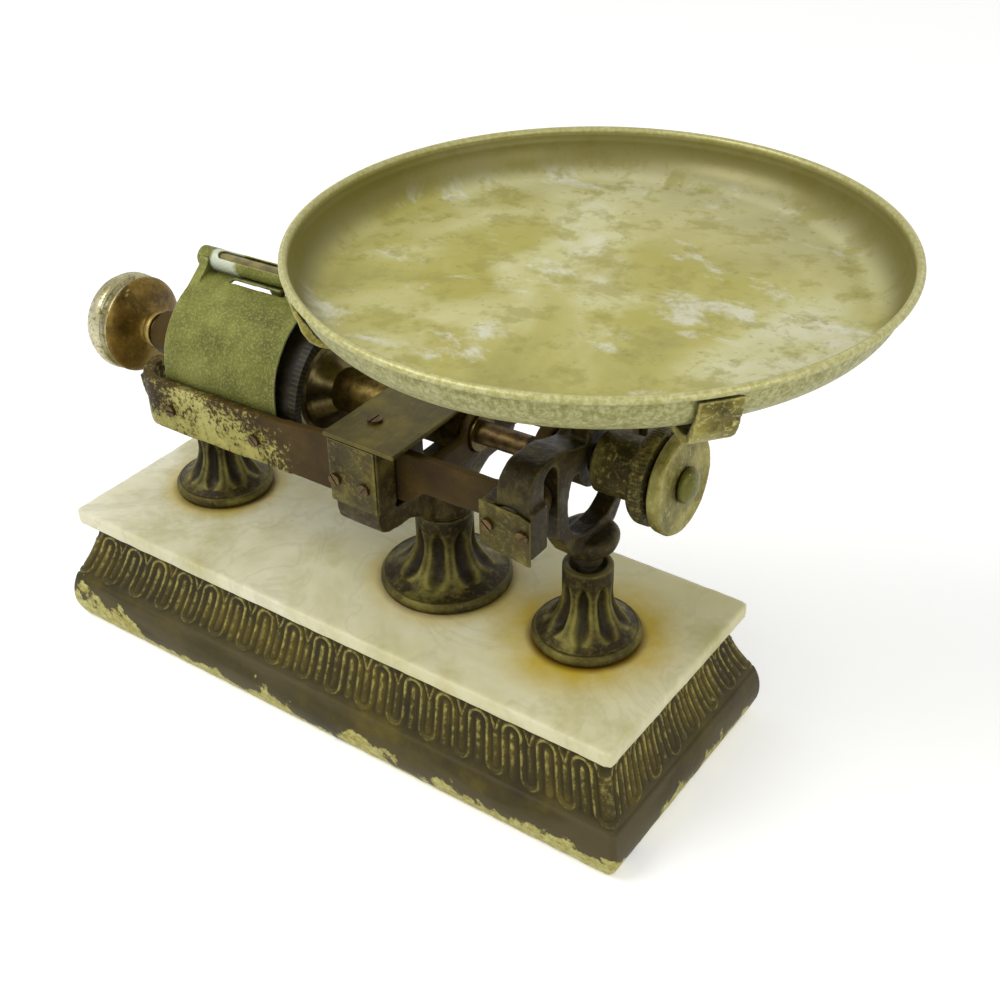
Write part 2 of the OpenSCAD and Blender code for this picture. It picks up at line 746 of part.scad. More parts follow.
module beam_casting() {
    arm_low = arm_top - arm_h;
    loop_low = loop_top - loop_h;
    arm_end = load_x + 8;
    web_low = arm_low + 2.5;
    deep_z = knife_z - 19.5;
    color("#6d6038") on_beam() difference() {
        union() {
            translate([0, 0, loop_low]) linear_extrude(loop_h) difference() {
                loop_plan(loop_end_x, neck_x + 1, loop_half, loop_corner_r);
                loop_plan(loop_end_x + loop_t + 1, neck_x + 2, loop_in, loop_corner_r - loop_t);
            }
            both_sides() plate_xz([[neck_x - 28, loop_top - 1], [neck_x - 28, loop_top],
                [neck_x + 1, arm_top],
                [neck_x + 1, loop_top - 1]], loop_in, loop_half);
            both_sides() block(neck_x, neck_x + neck_len, arm_in, loop_half, loop_low, arm_top);
            both_sides() block(neck_x, arm_end, arm_in, arm_half, arm_low, arm_top);
            both_sides() plate_xz([[neck_x, arm_low + 1], [neck_x, deep_z], [fulcrum_x + 16, deep_z],
                [fulcrum_x + 19, deep_z + 1.2], [fulcrum_x + 22, deep_z + 4.4], [fulcrum_x + 25, arm_low],
                [fulcrum_x + 26, arm_low + 1]], arm_in, arm_half);
            both_sides() for (x = [fulcrum_x, load_x])
                rod_y(knife_boss_r, knife_boss_in, arm_half, x, knife_z);
            block(barrel_end_x, barrel_end_x + barrel_web_t, -arm_in - 1, arm_in + 1, web_low, arm_top - 3);
            rod_x(barrel_r, barrel_end_x, barrel_end_x + barrel_web_t, knife_z);
            block(stud_web_x, stud_web_x + stud_web_t, -arm_in - 1, arm_in + 1, web_low, arm_top - 2);
            rod_x(stud_r + 4, stud_web_x, stud_web_x + stud_web_t + 1, stud_z);
            rod_x(journal_boss_r, journal_x, journal_in_x, knife_z);
            difference() {
                rod_x(cradle_r, left_x - cradle_w / 2, left_x + cradle_w / 2, knife_z);
                rod_x(cradle_r - cradle_wall, left_x - cradle_w, left_x + cradle_w, knife_z);
                block(left_x - cradle_w, left_x + cradle_w, -50, 50, knife_z, knife_z + 50);
            }
        }
        rod_x(journal_r + bush_t + seat_gap, journal_x - 1, journal_in_x + 1, knife_z);
        rod_x(barrel_r - 2 + seat_gap, barrel_end_x - 1, barrel_end_x + barrel_web_t + 1, knife_z);
        rod_x(stud_r + seat_gap, stud_web_x - 1, stud_web_x + stud_web_t + 2, stud_z);
        both_sides() knife_seat(fulcrum_x, edge_gap, 1);
        both_sides() knife_seat(load_x, -edge_gap, -1);
        for (x = cover_screw_xs) both_sides() translate([x, -loop_half, cover_screw_z])
            rotate([-90, 0, 0]) translate([0, 0, -1])
                cylinder(r = screw_shank_r + seat_gap, h = loop_t + 3, $fn = 24);
    }
}

cover_screw_xs = [cover_x + cover_screw_in, cover_x + cover_len - cover_screw_in - 4];

// The tight seat of a knife bar through one arm
module knife_seat(x, dz, up) {
    k = knife_half + seat_gap;
    h = knife_h + seat_gap;
    translate([0, 0, dz]) plate_xz([for (p = [[0, -2 * seat_gap], [k, 3 - seat_gap], [k, h], [-k, h],
        [-k, 3 - seat_gap]]) [x + p[0], knife_z + up * p[1]]], knife_boss_in - 1, arm_half + 1);
}

module journal_bush() {
    color("#8a6a2e") on_beam() difference() {
        rod_x(journal_r + bush_t, journal_x, journal_in_x, knife_z);
        rod_x(journal_r + run_gap, journal_x - 1, journal_in_x + 1, knife_z);
    }
}

// Long nut for the screw, shouldered against its web
module screw_barrel() {
    color("#5a4426") on_beam() difference() {
        union() {
            rod_x(barrel_r, barrel_x, barrel_end_x - seat_gap, knife_z);
            rod_x(barrel_r - 2, barrel_x, barrel_end_x + barrel_web_t + 1, knife_z);
        }
        rod_x(screw_r + run_gap, barrel_x - 1, barrel_end_x + barrel_web_t + 2, knife_z);
    }
}

// An arch with an upright skirt on each side; the far side is open between two ribs
module drum_cover() {
    x1 = cover_x + cover_len;
    slot_x0 = follower_x - drum_travel - 1;
    slot_x1 = follower_x + follower_t + 1;
    color("#55663a") on_beam() difference() {
        union() {
            difference() {
                union() {
                    rod_x(cover_r, cover_x, x1, cover_z);
                    block(cover_x, x1, -cover_r, cover_r, cover_skirt, cover_z);
                }
                rod_x(cover_in_r, cover_x - 1, x1 + 1, cover_z);
                block(cover_x - 1, x1 + 1, -cover_in_r, cover_in_r, cover_skirt - 1, cover_z);
                block(cover_x - 1, x1 + 1, -60, 60, cover_z - cover_r - 9, cover_skirt);
            }
            for (x = [cover_x, x1 - 5]) ear(x);
        }
        block(cover_x + rib_w, x1 - rib_w, 4, cover_r + 1, cover_skirt - 1, cover_z + cover_r + 1);
        translate([0, 0, knife_z]) rotate([slot_lean, 0, 0])
            block(slot_x0, slot_x1, -slot_w / 2, slot_w / 2, cover_in_r - 4, cover_r + 12);
        rod_x(level_r + seat_gap, level_x - 1, level_x + level_len + 1, level_z);
        for (x = cover_screw_xs) both_sides() translate([x, -cover_r, cover_screw_z])
            rotate([-90, 0, 0]) translate([0, 0, -1])
                cylinder(r = screw_shank_r + seat_gap, h = 4, $fn = 24);
    }
}

// A cheek that holds one end of the level on the arch
module ear(x) {
    foot = cover_z + cover_r * cos(25) - 1.5;
    wide = cover_r * sin(25) + 2;
    plate_yz([[-wide, foot], [-level_r - 2.5, level_z - 1], [-level_r - 1, level_z + 2.5],
        [level_r + 1, level_z + 2.5], [level_r + 2.5, level_z - 1], [wide, foot],
        [0, cover_z + cover_in_r]], x, x + 5);
}

module cover_screws() {
    color("#3b3526") on_beam() for (x = cover_screw_xs) both_sides()
        translate([x, -loop_half - seat_gap, cover_screw_z]) rotate([0, x, 0]) slotted_screw();
}

module level_case() {
    window = level_len - 2 * plaster_len - 8;
    color("#5f7046") on_beam() difference() {
        rod_x(level_r, level_x, level_x + level_len, level_z);
        rod_x(level_r - level_wall, level_x - 1, level_x + level_len + 1, level_z);
        translate([0, 0, level_z]) rotate([18, 0, 0]) {
            block(level_x + plaster_len + 4, level_x + plaster_len + 4 + window,
                -level_window_w / 2, level_window_w / 2, 0, level_r + 1);
            for (x = [level_x + plaster_len + 4, level_x + plaster_len + 4 + window])
                rod_z(level_window_w / 2, x, 0, level_r + 1);
        }
    }
}

module level_plaster() {
    r = level_r - level_wall - seat_gap;
    color("#e9e9e2") on_beam() for (x = [level_x, level_x + level_len - plaster_len])
        rod_x(r, x, x + plaster_len, level_z);
}

module level_glass() {
    r = level_r - level_wall - 0.2;
    color("#b58a4a") on_beam()
        rod_x(r, level_x + plaster_len + seat_gap, level_x + level_len - plaster_len - seat_gap, level_z);
}

lock_x = weight_x + weight_hub_len + weight_flange_w + 0.8;
dome_x = lock_x + lock_w + 0.2;
dome_h = 4.6;

module balance_stud() {
    color("#6a614a") on_beam() rod_x(stud_r, stud_web_x - 1, dome_x + 1.5, stud_z);
}

module domed_nut() {
    steps = 8;
    color("#7d8147") on_beam() difference() {
        turned_x(concat([[dome_x, 0], [dome_x, dome_r]],
            [for (i = [0 : steps]) let (a = 90 * i / steps)
                [dome_x + 0.8 + (dome_h - 0.8) * sin(a), dome_r * cos(a)]]),
            stud_z);
        rod_x(stud_r + seat_gap, dome_x - 1, dome_x + 1.55, stud_z);
    }
}

// Plain hub and a flange whose rim is knurled
module balance_weight() {
    flange_x = weight_x + weight_hub_len;
    end = flange_x + weight_flange_w;
    r = weight_flange_r;
    steps = 2 * knurl_count;
    color("#5e5638") on_beam() difference() {
        union() {
            turned_x([[weight_x, 0], [weight_x, weight_hub_r - 1], [weight_x + 1, weight_hub_r],
                [flange_x, weight_hub_r], [flange_x, r - 1.5], [flange_x + 1.5, r - 0.4],
                [end - 1.5, r - 0.4],
                [end, r - 2.5], [end, 0]], stud_z);
            translate([flange_x + 2, 0, stud_z]) rotate([0, 90, 0]) linear_extrude(weight_flange_w - 4)
                polygon([for (i = [0 : steps - 1]) let (q = r - 0.5 * (i % 2), a = 360 * i / steps)
                    [q * cos(a), q * sin(a)]]);
        }
        rod_x(stud_r + run_gap, weight_x - 1, end + 1, stud_z);
    }
}

module lock_disc() {
    r = lock_r;
    x = lock_x;
    color("#66603f") on_beam() difference() {
        turned_x([[x, 0], [x, r - 2.5], [x + 1.2, r - 0.5], [x + lock_w - 1.4, r], [x + lock_w, r - 0.9],
            [x + lock_w, r - 2.6], [x + lock_w - 0.4, r - 3.4], [x + lock_w - 0.4, 0]], stud_z);
        rod_x(stud_r + run_gap, x - 1, x + lock_w + 1, stud_z);
    }
}

// Ring on the screw with a blade that shows in the slot; it slides but doesn't turn
module index_follower() {
    blade_top = cover_rise + cover_r + 0.8;
    color("#8d7a3a") on_beam() difference() {
        union() {
            rod_x(follower_r, follower_x, follower_x + follower_t, knife_z);
            translate([0, 0, knife_z]) rotate([slot_lean, 0, 0])
                block(follower_x + 0.4, follower_x + follower_t - 0.4, -slot_w / 2 + 0.4, slot_w / 2 - 0.4,
                    screw_r + 2, blade_top);
        }
        rod_x(screw_r + run_gap, follower_x - 1, follower_x + follower_t + 1, knife_z);
    }
}

module thrust_collar() {
    color("#7b6b3a") on_beam() difference() {
        rod_x(follower_r, follower_x - 0.3 - collar_t, follower_x - 0.3, knife_z);
        rod_x(screw_r + seat_gap, follower_x - 1 - collar_t, follower_x, knife_z);
    }
}

module drum_shell() {
    color("#3c3a2c") on_beam() difference() {
        rod_x(drum_r, drum_left, drum_x, knife_z);
        rod_x(drum_r - drum_wall, drum_left + drum_end_t, drum_x + 1, knife_z);
        rod_x(hub_r + seat_gap, drum_left - 1, drum_x + 1, knife_z);
    }
}

module graduated_band() {
    color("#16150f") on_beam() difference() {
        rod_x(drum_r + band_t, drum_x - band_w, drum_x, knife_z);
        rod_x(drum_r + seat_gap, drum_x - band_w - 1, drum_x + 1, knife_z);
    }
}

// Dished end of the drum: a hollow curve from the rim down to the hub
module drum_bell() {
    r1 = drum_r - drum_wall - seat_gap;
    r0 = hub_r + seat_gap;
    depth = 8;
    steps = 12;
    function dish(t) = -depth * sin(180 * pow(t, 0.8));
    color("#8f8357") on_beam() turned_x(concat(
        [for (i = [0 : steps]) let (t = i / steps) [drum_x - 0.5 + dish(t), r1 + (r0 - r1) * t]],
        [for (i = [steps : -1 : 0]) let (t = i / steps)
            [drum_x - 0.5 - bell_t + dish(t), r1 + (r0 - r1) * t]]),
        knife_z);
}

module drum_hub() {
    color("#6f6038") on_beam() difference() {
        rod_x(hub_r, drum_left, barrel_x - 0.5, knife_z);
        rod_x(screw_r + seat_gap, drum_left - 1, barrel_x + 1, knife_z);
    }
}

module spindle() {
    journal_end = journal_in_x + drum_travel + 2;
    color("#6a5c3a") on_beam() {
        rod_x(journal_r, knob_x - 2, journal_end, knife_z);
        rod_x(screw_r, journal_end, screw_end_x, knife_z);
    }
}

knob_neck_r = 7.7;

// Flared neck of the knob, from its collar to the rim
module knob_body() {
    x = knob_x;
    far = knob_x - knob_len + knob_face_len;
    flare = knob_x - 5 - far;
    steps = 10;
    color("#5d4526") on_beam() difference() {
        turned_x(concat([[x, 0], [x, 8.7], [x - 3, 8.7], [x - 3.5, knob_neck_r]],
            [for (i = [0 : steps]) let (t = i / steps)
                [x - 5 - flare * t, knob_neck_r + (knob_r - 0.4 - knob_neck_r) * pow(sin(90 * t), 1.6)]],
            [[far, 0]]), knife_z);
        rod_x(journal_r + seat_gap, x - 2.05, x + 1, knife_z);
    }
}

// Nickel cap of the knob: two beads with a groove between, and a low dome
module knob_face() {
    x = knob_x - knob_len + knob_face_len - seat_gap;
    tip = knob_face_len - seat_gap;
    steps = 8;
    dome_start = 11.4;
    color("#a7a492") on_beam() turned_x(concat(
        [[x, 0], [x, knob_r - 2], [x - 0.8, knob_r - 1.5], [x - 2.4, knob_r - 1.5], [x - 3.2, knob_r - 2.2],
            [x - 3.7, knob_r - 3.2], [x - 4.9, knob_r - 3.2], [x - 5.4, knob_r - 0.8], [x - 6.4, knob_r],
            [x - 9.6, knob_r], [x - 10.8, knob_r - 0.6]],
        [for (i = [0 : steps]) let (a = 90 * i / steps)
            [x - dome_start - (tip - dome_start) * sin(a), (knob_r - 1.2) * cos(a)]]), knife_z);
}

// Outline of the carrier's arch, one side, from the shoulder in to the middle
function arch_side() = [[arch_shoulder_y, box_top - 8], [arch_shoulder_y + arch_shoulder_r, box_top - 8],
    [arch_shoulder_y + arch_shoulder_r, arch_shoulder_z], [arch_shoulder_y, arch_shoulder_z],
    [arch_shoulder_y, arch_shoulder_z + arch_shoulder_r], [28, box_top + 15.6], [22, box_top + 14.6],
    [16, box_top + 12.2], [9, box_top + 10.2], [0, box_top + 9.5]];

// Lower outline of the ring's legs, one side, from the cup up to the slot
function leg_side() = [[0, bowl_z], [14, bowl_z - 2], [16.5, bowl_z - 0.5], [20.3, bowl_z + 5],
    [23.2, bowl_z + 9.8], [27.4, bowl_z + 13.8], [slot_in, bowl_z + 14]];

// Half of the opening in the ring, from its floor up to the boss
function opening_side() = [[0, ring_open_z], [9, ring_open_z + 0.8], [15, ring_open_z + 4.2],
    [18.8, ring_open_z + 10], [leg_in, ring_open_z + 17], [leg_in + 0.3, ring_open_z + 23],
    [19.2, ring_open_z + 28], [17, ring_open_z + 32.5], [0, ring_open_z + 32.5]];

module pan_carrier() {
    wall_out = carrier_half - plate_t - seat_gap;
    face_x = arch_x + arch_w;
    color("#4f452b") on_carrier() difference() {
        union() {
            both_sides() plate_yz(concat([[0, box_top - 8]], arch_side()), arch_x, face_x);
            both_sides() rod_x(arch_shoulder_r, arch_x, face_x, arch_shoulder_z, arch_shoulder_y);
            both_sides() block(box_x, box_x + load_box_w, slot_out, wall_out,
                box_top - box_h + 1.5, box_top);
            both_sides() block(load_x - 8, face_x, leg_in, slot_in, knife_z - 9, box_top);
            both_sides() plate_yz(concat(leg_side(), [[slot_in, box_top + 4], [0, box_top + 4]]),
                ring_x, face_x);
            translate([right_x, 0, bowl_z]) bowl();
            rod_z(column_r, pan_x, box_top + 15, spider_top - spider_t - 4);
            block(pan_x - column_r, face_x, -column_r, column_r, stud_z, box_top + 17);
            rod_z(stem_neck_r, right_x, bowl_bottom - stem_neck_l, bowl_z);
        }
        both_sides() plate_yz(opening_side(), arch_x - 1, face_x + 9);
        block(load_x - 9, ring_x, -leg_in, leg_in, knife_z - 10, box_top - 3);
        both_sides() block(box_x - 1, box_x + load_box_w + 1, slot_in, slot_out,
            ring_open_z - 8, slot_top_z);
        both_sides() rod_x(slot_round_r, box_x - 1, box_x + load_box_w + 1, slot_top_z,
            (slot_in + slot_out) / 2);
        both_sides() rod_y(steel_r + seat_gap, leg_in - 1, wall_out + 1, load_x, knife_z);
        both_sides() for (dx = load_screws) translate([load_x + dx, -wall_out, knife_z - 4]) screw_hole();
        rod_x(boss_bore_r, arch_x - 1, face_x + 1, stud_z);
        rod_z(stem_r + seat_gap, right_x, bowl_bottom - stem_neck_l - 1, bowl_z);
    }
    color("#4f452b") on_carrier() difference() {
        rod_x(ring_boss_r, arch_x, face_x, stud_z);
        rod_x(boss_bore_r, arch_x - 1, face_x + 1, stud_z);
    }
}

load_screws = [-8.4, 7.6];

// Rounded cup under the ring, where the arms meet the stem
module bowl() {
    steps = 10;
    low = bowl_z - bowl_bottom;
    rotate_extrude() polygon(concat([[0, bowl_top], [0, -low], [stem_neck_r, -low]],
        [for (i = [0 : steps]) let (a = -60 + 110 * i / steps)
            [stem_neck_r + (bowl_r - stem_neck_r) * cos(a), (a < 0 ? low : bowl_top) * sin(a)]]));
}

module load_plates() {
    color("#6a6232") on_carrier() both_sides() difference() {
        plate_xz([[box_x, box_top - box_h + 1.8], [box_x + 11, box_top - box_h + 0.7],
            [box_x + load_box_w, box_top - box_h - 0.8], [box_x + load_box_w, box_top - 2.6],
            [box_x + load_box_w - 5, box_top - 0.8], [box_x, box_top]],
            -carrier_half, -carrier_half + plate_t);
        for (dx = load_screws) translate([load_x + dx, -carrier_half, knife_z - 4]) screw_hole();
    }
}

module load_plate_screws() {
    color("#3f3a28") on_carrier() both_sides() for (dx = load_screws)
        translate([load_x + dx, -carrier_half - seat_gap, knife_z - 4])
            rotate([0, dx * 6, 0]) slotted_screw();
}

module carrier_stem() {
    color("#7a7460") on_carrier() rod_z(stem_r, right_x, check_z + fork_r + 4, bowl_z - 1);
}

// Forked end that takes the check rod
module stem_fork() {
    color("#5c5644") on_carrier() difference() {
        union() {
            block(right_x - fork_r, right_x + fork_r, -fork_w / 2, fork_w / 2, check_z, check_z + fork_top);
            rod_y(fork_r, -fork_w / 2, fork_w / 2, right_x, check_z);
        }
        block(right_x - fork_r - 1, right_x + fork_r + 1, -check_t / 2 - 0.4, check_t / 2 + 0.4,
            check_z - fork_r - 1, check_z + fork_r + 1);
        rod_z(stem_r + seat_gap, right_x, check_z + fork_r + 4 - seat_gap, check_z + fork_top + 2);
        rod_y(check_pin_r + seat_gap, -fork_w, fork_w, right_x, check_z);
    }
}

module stem_pin() {
    color("#8a8472") on_carrier() rod_y(check_pin_r, -fork_w / 2 - 1, fork_w / 2 + 1, right_x, check_z);
}

// Points of an arc round the pan's corner, at distance r from its centre, from a0 to a1 degrees
function corner_arc(r, a0, a1, steps) = [for (i = [0 : steps]) let (a = a0 + (a1 - a0) * i / steps)
    [pan_arc_r + r * cos(a), pan_arc_z + r * sin(a)]];

// Arm and lug of the spider as seen from the side: the arm turns up outside the pan's rounded corner
function spider_side() = let (low = spider_top - spider_t, out = pan_arc_r + pan_corner_r) concat(
    [[spider_hub_r - 5, low], [out - 10.5, low], [out - 6.2, low + 1.5], [out - 2.9, low + 4.1],
        [out - 0.6, low + 8.1], [out + 0.3, low + 12.4]],
    corner_arc(pan_corner_r + lug_gap + lug_t, -24, -10, 2),
    [[out + lug_t + 0.5, lug_top - 1], [out + lug_t + 0.2, lug_top], [out + 1, lug_top]],
    corner_arc(pan_corner_r + lug_gap, -6, -40, 4),
    [[out - 4.6, spider_top + 4], [out - 6, spider_top + 1.6], [out - 9, spider_top + 0.4],
        [out - 14, spider_top], [spider_hub_r - 5, spider_top]]);

module pan_spider() {
    color("#6b6336") on_carrier() translate([pan_x, 0, 0]) difference() {
        union() {
            rod_z(spider_hub_r, 0, spider_top - spider_t - 2, spider_top);
            for (a = [0 : 90 : 270])
                rotate([0, 0, spider_angle + a]) plate_xz(spider_side(), -spider_w / 2, spider_w / 2);
        }
        rod_z(column_r - 3 + seat_gap, 0, spider_top - spider_t - 3, spider_top + 2);
        rod_z(column_r + seat_gap, 0, spider_top - spider_t - 5, spider_top - spider_t - 4 + 2.5);
    }
}

// Round nut on the column's spigot, under the pan
module spider_nut() {
    color("#4b442c") on_carrier() translate([pan_x, 0, 0]) {
        rod_z(column_r - 3, 0, spider_top - spider_t - 4 + 2 * seat_gap, spider_top + seat_gap + 1);
        rod_z(column_r, 0, spider_top + seat_gap, pan_floor_z - pan_clear);
    }
}

module weighing_pan() {
    bead_z = pan_rim_z - pan_bead_r;
    color("#a6a06c") on_carrier() translate([pan_x, 0, 0]) rotate_extrude($fn = 120) union() {
        polygon(concat([[0, pan_floor_z]], corner_arc(pan_corner_r, -90, 0, 10),
            [[pan_wall_r, bead_z], [pan_wall_r - pan_t, bead_z]],
            corner_arc(pan_corner_r - pan_t, 0, -90, 10),
            [[0, pan_floor_z + pan_t]]));
        translate([pan_wall_r, bead_z]) circle(r = pan_bead_r, $fn = 24);
    }
}

base_casting();
marble_slab();
left_pedestal();
middle_pedestal();
right_pedestal();
fulcrum_yoke();
tie_strip();
tie_strip_screws();
fulcrum_bearings();
fulcrum_plates();
fulcrum_plate_screws();
rest_pad();
clamp_bars();
hold_down_studs();
hold_down_nuts();
ring_nut();
check_bracket();
check_bracket_pin();
check_rod();
beam_casting();
fulcrum_knives();
load_knives();
journal_bush();
screw_barrel();
drum_cover();
cover_screws();
level_case();
level_glass();
level_plaster();
balance_stud();
domed_nut();
index_follower();
drum_shell();
graduated_band();
drum_bell();
drum_hub();
thrust_collar();
spindle();
knob_body();
knob_face();
balance_weight();
lock_disc();
pan_carrier();
load_bearings();
load_plates();
load_plate_screws();
carrier_stem();
stem_fork();
stem_pin();
pan_spider();
spider_nut();
weighing_pan();
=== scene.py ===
"""Counter balance with a screw-driven poise drum, dressed over its CAD frame."""
import json
import math

import bmesh
import bpy
import numpy as np
from mathutils import Matrix, Vector


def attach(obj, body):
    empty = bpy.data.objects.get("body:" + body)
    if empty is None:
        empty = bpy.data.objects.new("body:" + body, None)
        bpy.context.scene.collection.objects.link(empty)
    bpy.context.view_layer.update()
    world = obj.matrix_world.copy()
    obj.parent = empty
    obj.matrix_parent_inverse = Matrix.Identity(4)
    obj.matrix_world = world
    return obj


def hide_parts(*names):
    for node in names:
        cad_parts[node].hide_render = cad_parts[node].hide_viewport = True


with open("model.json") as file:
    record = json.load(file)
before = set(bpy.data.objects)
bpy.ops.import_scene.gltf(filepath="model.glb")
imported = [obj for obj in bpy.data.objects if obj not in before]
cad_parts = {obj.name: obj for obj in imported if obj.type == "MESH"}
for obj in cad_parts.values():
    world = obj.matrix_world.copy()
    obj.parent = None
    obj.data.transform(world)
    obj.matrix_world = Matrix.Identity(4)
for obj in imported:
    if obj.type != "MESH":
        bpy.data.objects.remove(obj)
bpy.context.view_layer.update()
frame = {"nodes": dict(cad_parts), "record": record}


# Camera: an ordinary lens held a little above the pan, in front and to the right of the scale.
# Its place and turn were worked out from the straight edges of the slab and the ellipse of the pan.
azimuth, elevation, roll = (math.radians(d) for d in (35.4959, 34.2131, 1.0457))
back = Vector((math.sin(azimuth) * math.cos(elevation), -math.cos(azimuth) * math.cos(elevation),
               math.sin(elevation)))
right = (-back).cross(Vector((0, 0, 1))).normalized()
up = right.cross(-back)
right, up = (math.cos(roll) * right - math.sin(roll) * up, math.sin(roll) * right + math.cos(roll) * up)
lens = bpy.data.cameras.new("camera")
lens.sensor_width, lens.lens, lens.clip_start = 36, 53.063, 0.01
camera = bpy.data.objects.new("camera", lens)
camera.matrix_world = Matrix((
    (right.x, up.x, back.x, 0.335534), (right.y, up.y, back.y, -0.42),
    (right.z, up.z, back.z, 0.46653), (0, 0, 0, 1)))
bpy.context.scene.collection.objects.link(camera)
bpy.context.scene.camera = camera


# Floor and light: a pale sweep of matt paper under a wide softbox and a weaker one from the right.
# The world is a dim studio for the object and plain white for the lens, for metal and for glass.
def tint(code, alpha=1.0):
    """Turns an sRGB hex code into linear light: ((c + 0.055) / 1.055) ** 2.4 above the toe."""
    shades = [int(code[i:i + 2], 16) / 255 for i in (1, 3, 5)]
    return tuple(c / 12.92 if c <= 0.04045 else ((c + 0.055) / 1.055) ** 2.4 for c in shades) + (alpha,)


def add(tree, kind, inputs=None, stops=None, **settings):
    """Adds one shader node. Settings are its own options, and inputs are its sockets by name or number,
    each given a value, a socket, or a node whose first output is meant."""
    node = tree.nodes.new("ShaderNode" + kind)
    for key, value in settings.items():
        setattr(node, key, value)
    if stops:
        while len(node.color_ramp.elements) < len(stops):
            node.color_ramp.elements.new(0.5)
        for element, (place, shade) in zip(node.color_ramp.elements, stops):
            element.position = place
            element.color = tint(shade) if isinstance(shade, str) else (shade, shade, shade, 1)
    for key, value in (inputs or {}).items():
        if isinstance(value, bpy.types.Node):
            value = value.outputs[0]
        if isinstance(value, bpy.types.NodeSocket):
            tree.links.new(value, node.inputs[key])
        else:
            node.inputs[key].default_value = value
    return node


def material(name):
    """An empty material with the given name, and its node tree."""
    made = bpy.data.materials.new(name)
    made.use_nodes = True
    made.node_tree.nodes.clear()
    return made, made.node_tree


def lens_sees(tree):
    """One for a ray from the lens, also by way of glass or metal, and nought for any other light."""
    ray = add(tree, "LightPath")
    seen = add(tree, "Math", {0: ray.outputs["Is Camera Ray"], 1: ray.outputs["Is Transmission Ray"]},
               operation="MAXIMUM")
    return add(tree, "Math", {0: seen, 1: ray.outputs["Is Glossy Ray"]}, operation="MAXIMUM")


# Matt paper, a shade under white. A little light of its own, for the lens alone, brings it up to white
# where no shadow falls.
paper, t = material("matt_paper_floor")
add(t, "OutputMaterial", {"Surface": add(t, "BsdfPrincipled", {
    "Base Color": tint("#f6f6f4"), "Roughness": 0.9, "Specular IOR Level": 0.1,
    "Emission Color": tint("#ffffff"),
    "Emission Strength": add(t, "Math", {0: lens_sees(t), 1: 0.3}, operation="MULTIPLY")})})
bpy.ops.mesh.primitive_plane_add(size=14, location=(0, 0, 0))
floor = bpy.context.object
floor.name = "floor"
floor.data.materials.append(paper)

world = bpy.data.worlds.new("studio")
bpy.context.scene.world = world
world.use_nodes = True
t = world.node_tree
t.nodes.clear()
strength = add(t, "MapRange", {"Value": lens_sees(t), "To Min": 0.62, "To Max": 1.0})
add(t, "OutputWorld", {"Surface": add(t, "Background", {"Color": tint("#ffffff"), "Strength": strength})})

for name, place, size, power in (("key_softbox", (-0.55, -0.75, 1.25), 0.9, 11.0),
                                 ("fill_softbox", (1.1, -0.3, 0.7), 0.8, 3.5)):
    lamp = bpy.data.lights.new(name, "AREA")
    lamp.shape, lamp.size, lamp.energy = "DISK", size, power
    holder = bpy.data.objects.new(name, lamp)
    holder.location = place
    holder.rotation_euler = (Vector((0, 0, 0.12)) - Vector(place)).to_track_quat("-Z", "Y").to_euler()
    bpy.context.scene.collection.objects.link(holder)

bpy.context.scene.view_settings.view_transform = "Standard"


# Base: a hollow iron casting with mitred corners, a rolled plinth, and a hollow moulding carved with
# a running leaf pattern. It was painted dark brown, and the paint is rubbed off the ridges and chipped below.
MM = 0.001                   # one millimetre in Blender's metres
FRAME_X = -23.936            # middle of the slab in the shared frame
HALF_LENGTH, HALF_WIDTH = 152.4, 58.3
PLINTH_ROWS, BAND_ROWS = 16, 52
LEAF_PITCH = 17.2            # one arch and one cup of the carving
body_of = {n: b for b, ns in frame["record"]["behaviour"]["bodies"].items() for n in ns}


def finish_piece(mesh, node, name, finish, recalculate=True):
    """Links a mesh as the piece that stands for a CAD node: smooth, outward, in that node's body."""
    if recalculate:
        shell = bmesh.new()
        shell.from_mesh(mesh)
        bmesh.ops.recalc_face_normals(shell, faces=shell.faces)
        shell.to_mesh(mesh)
        shell.free()
    mesh.polygons.foreach_set("use_smooth", np.ones(len(mesh.polygons), bool))
    mesh.materials.clear()
    mesh.materials.append(finish)
    piece = bpy.data.objects.new(name, mesh)
    bpy.context.scene.collection.objects.link(piece)
    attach(piece, body_of[node])
    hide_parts(node)
    return piece


def lattice(points, size, seed):
    """Smooth lumps from -1 to 1: random values on a cubic lattice with cells of the given size, blended
    between the eight corners with the weight w = 3 f^2 - 2 f^3 of the place f in the cell."""
    values = np.random.default_rng(seed).uniform(-1, 1, (32, 32, 32))
    cell = np.floor(points / size).astype(int)
    f = points / size - cell
    w = f * f * (3 - 2 * f)
    total = np.zeros(len(points))
    for corner in np.ndindex(2, 2, 2):
        at = (cell + corner) % 32
        share = np.prod(np.where(np.array(corner) == 1, w, 1 - w), axis=1)
        total += share * values[at[:, 0], at[:, 1], at[:, 2]]
    return total


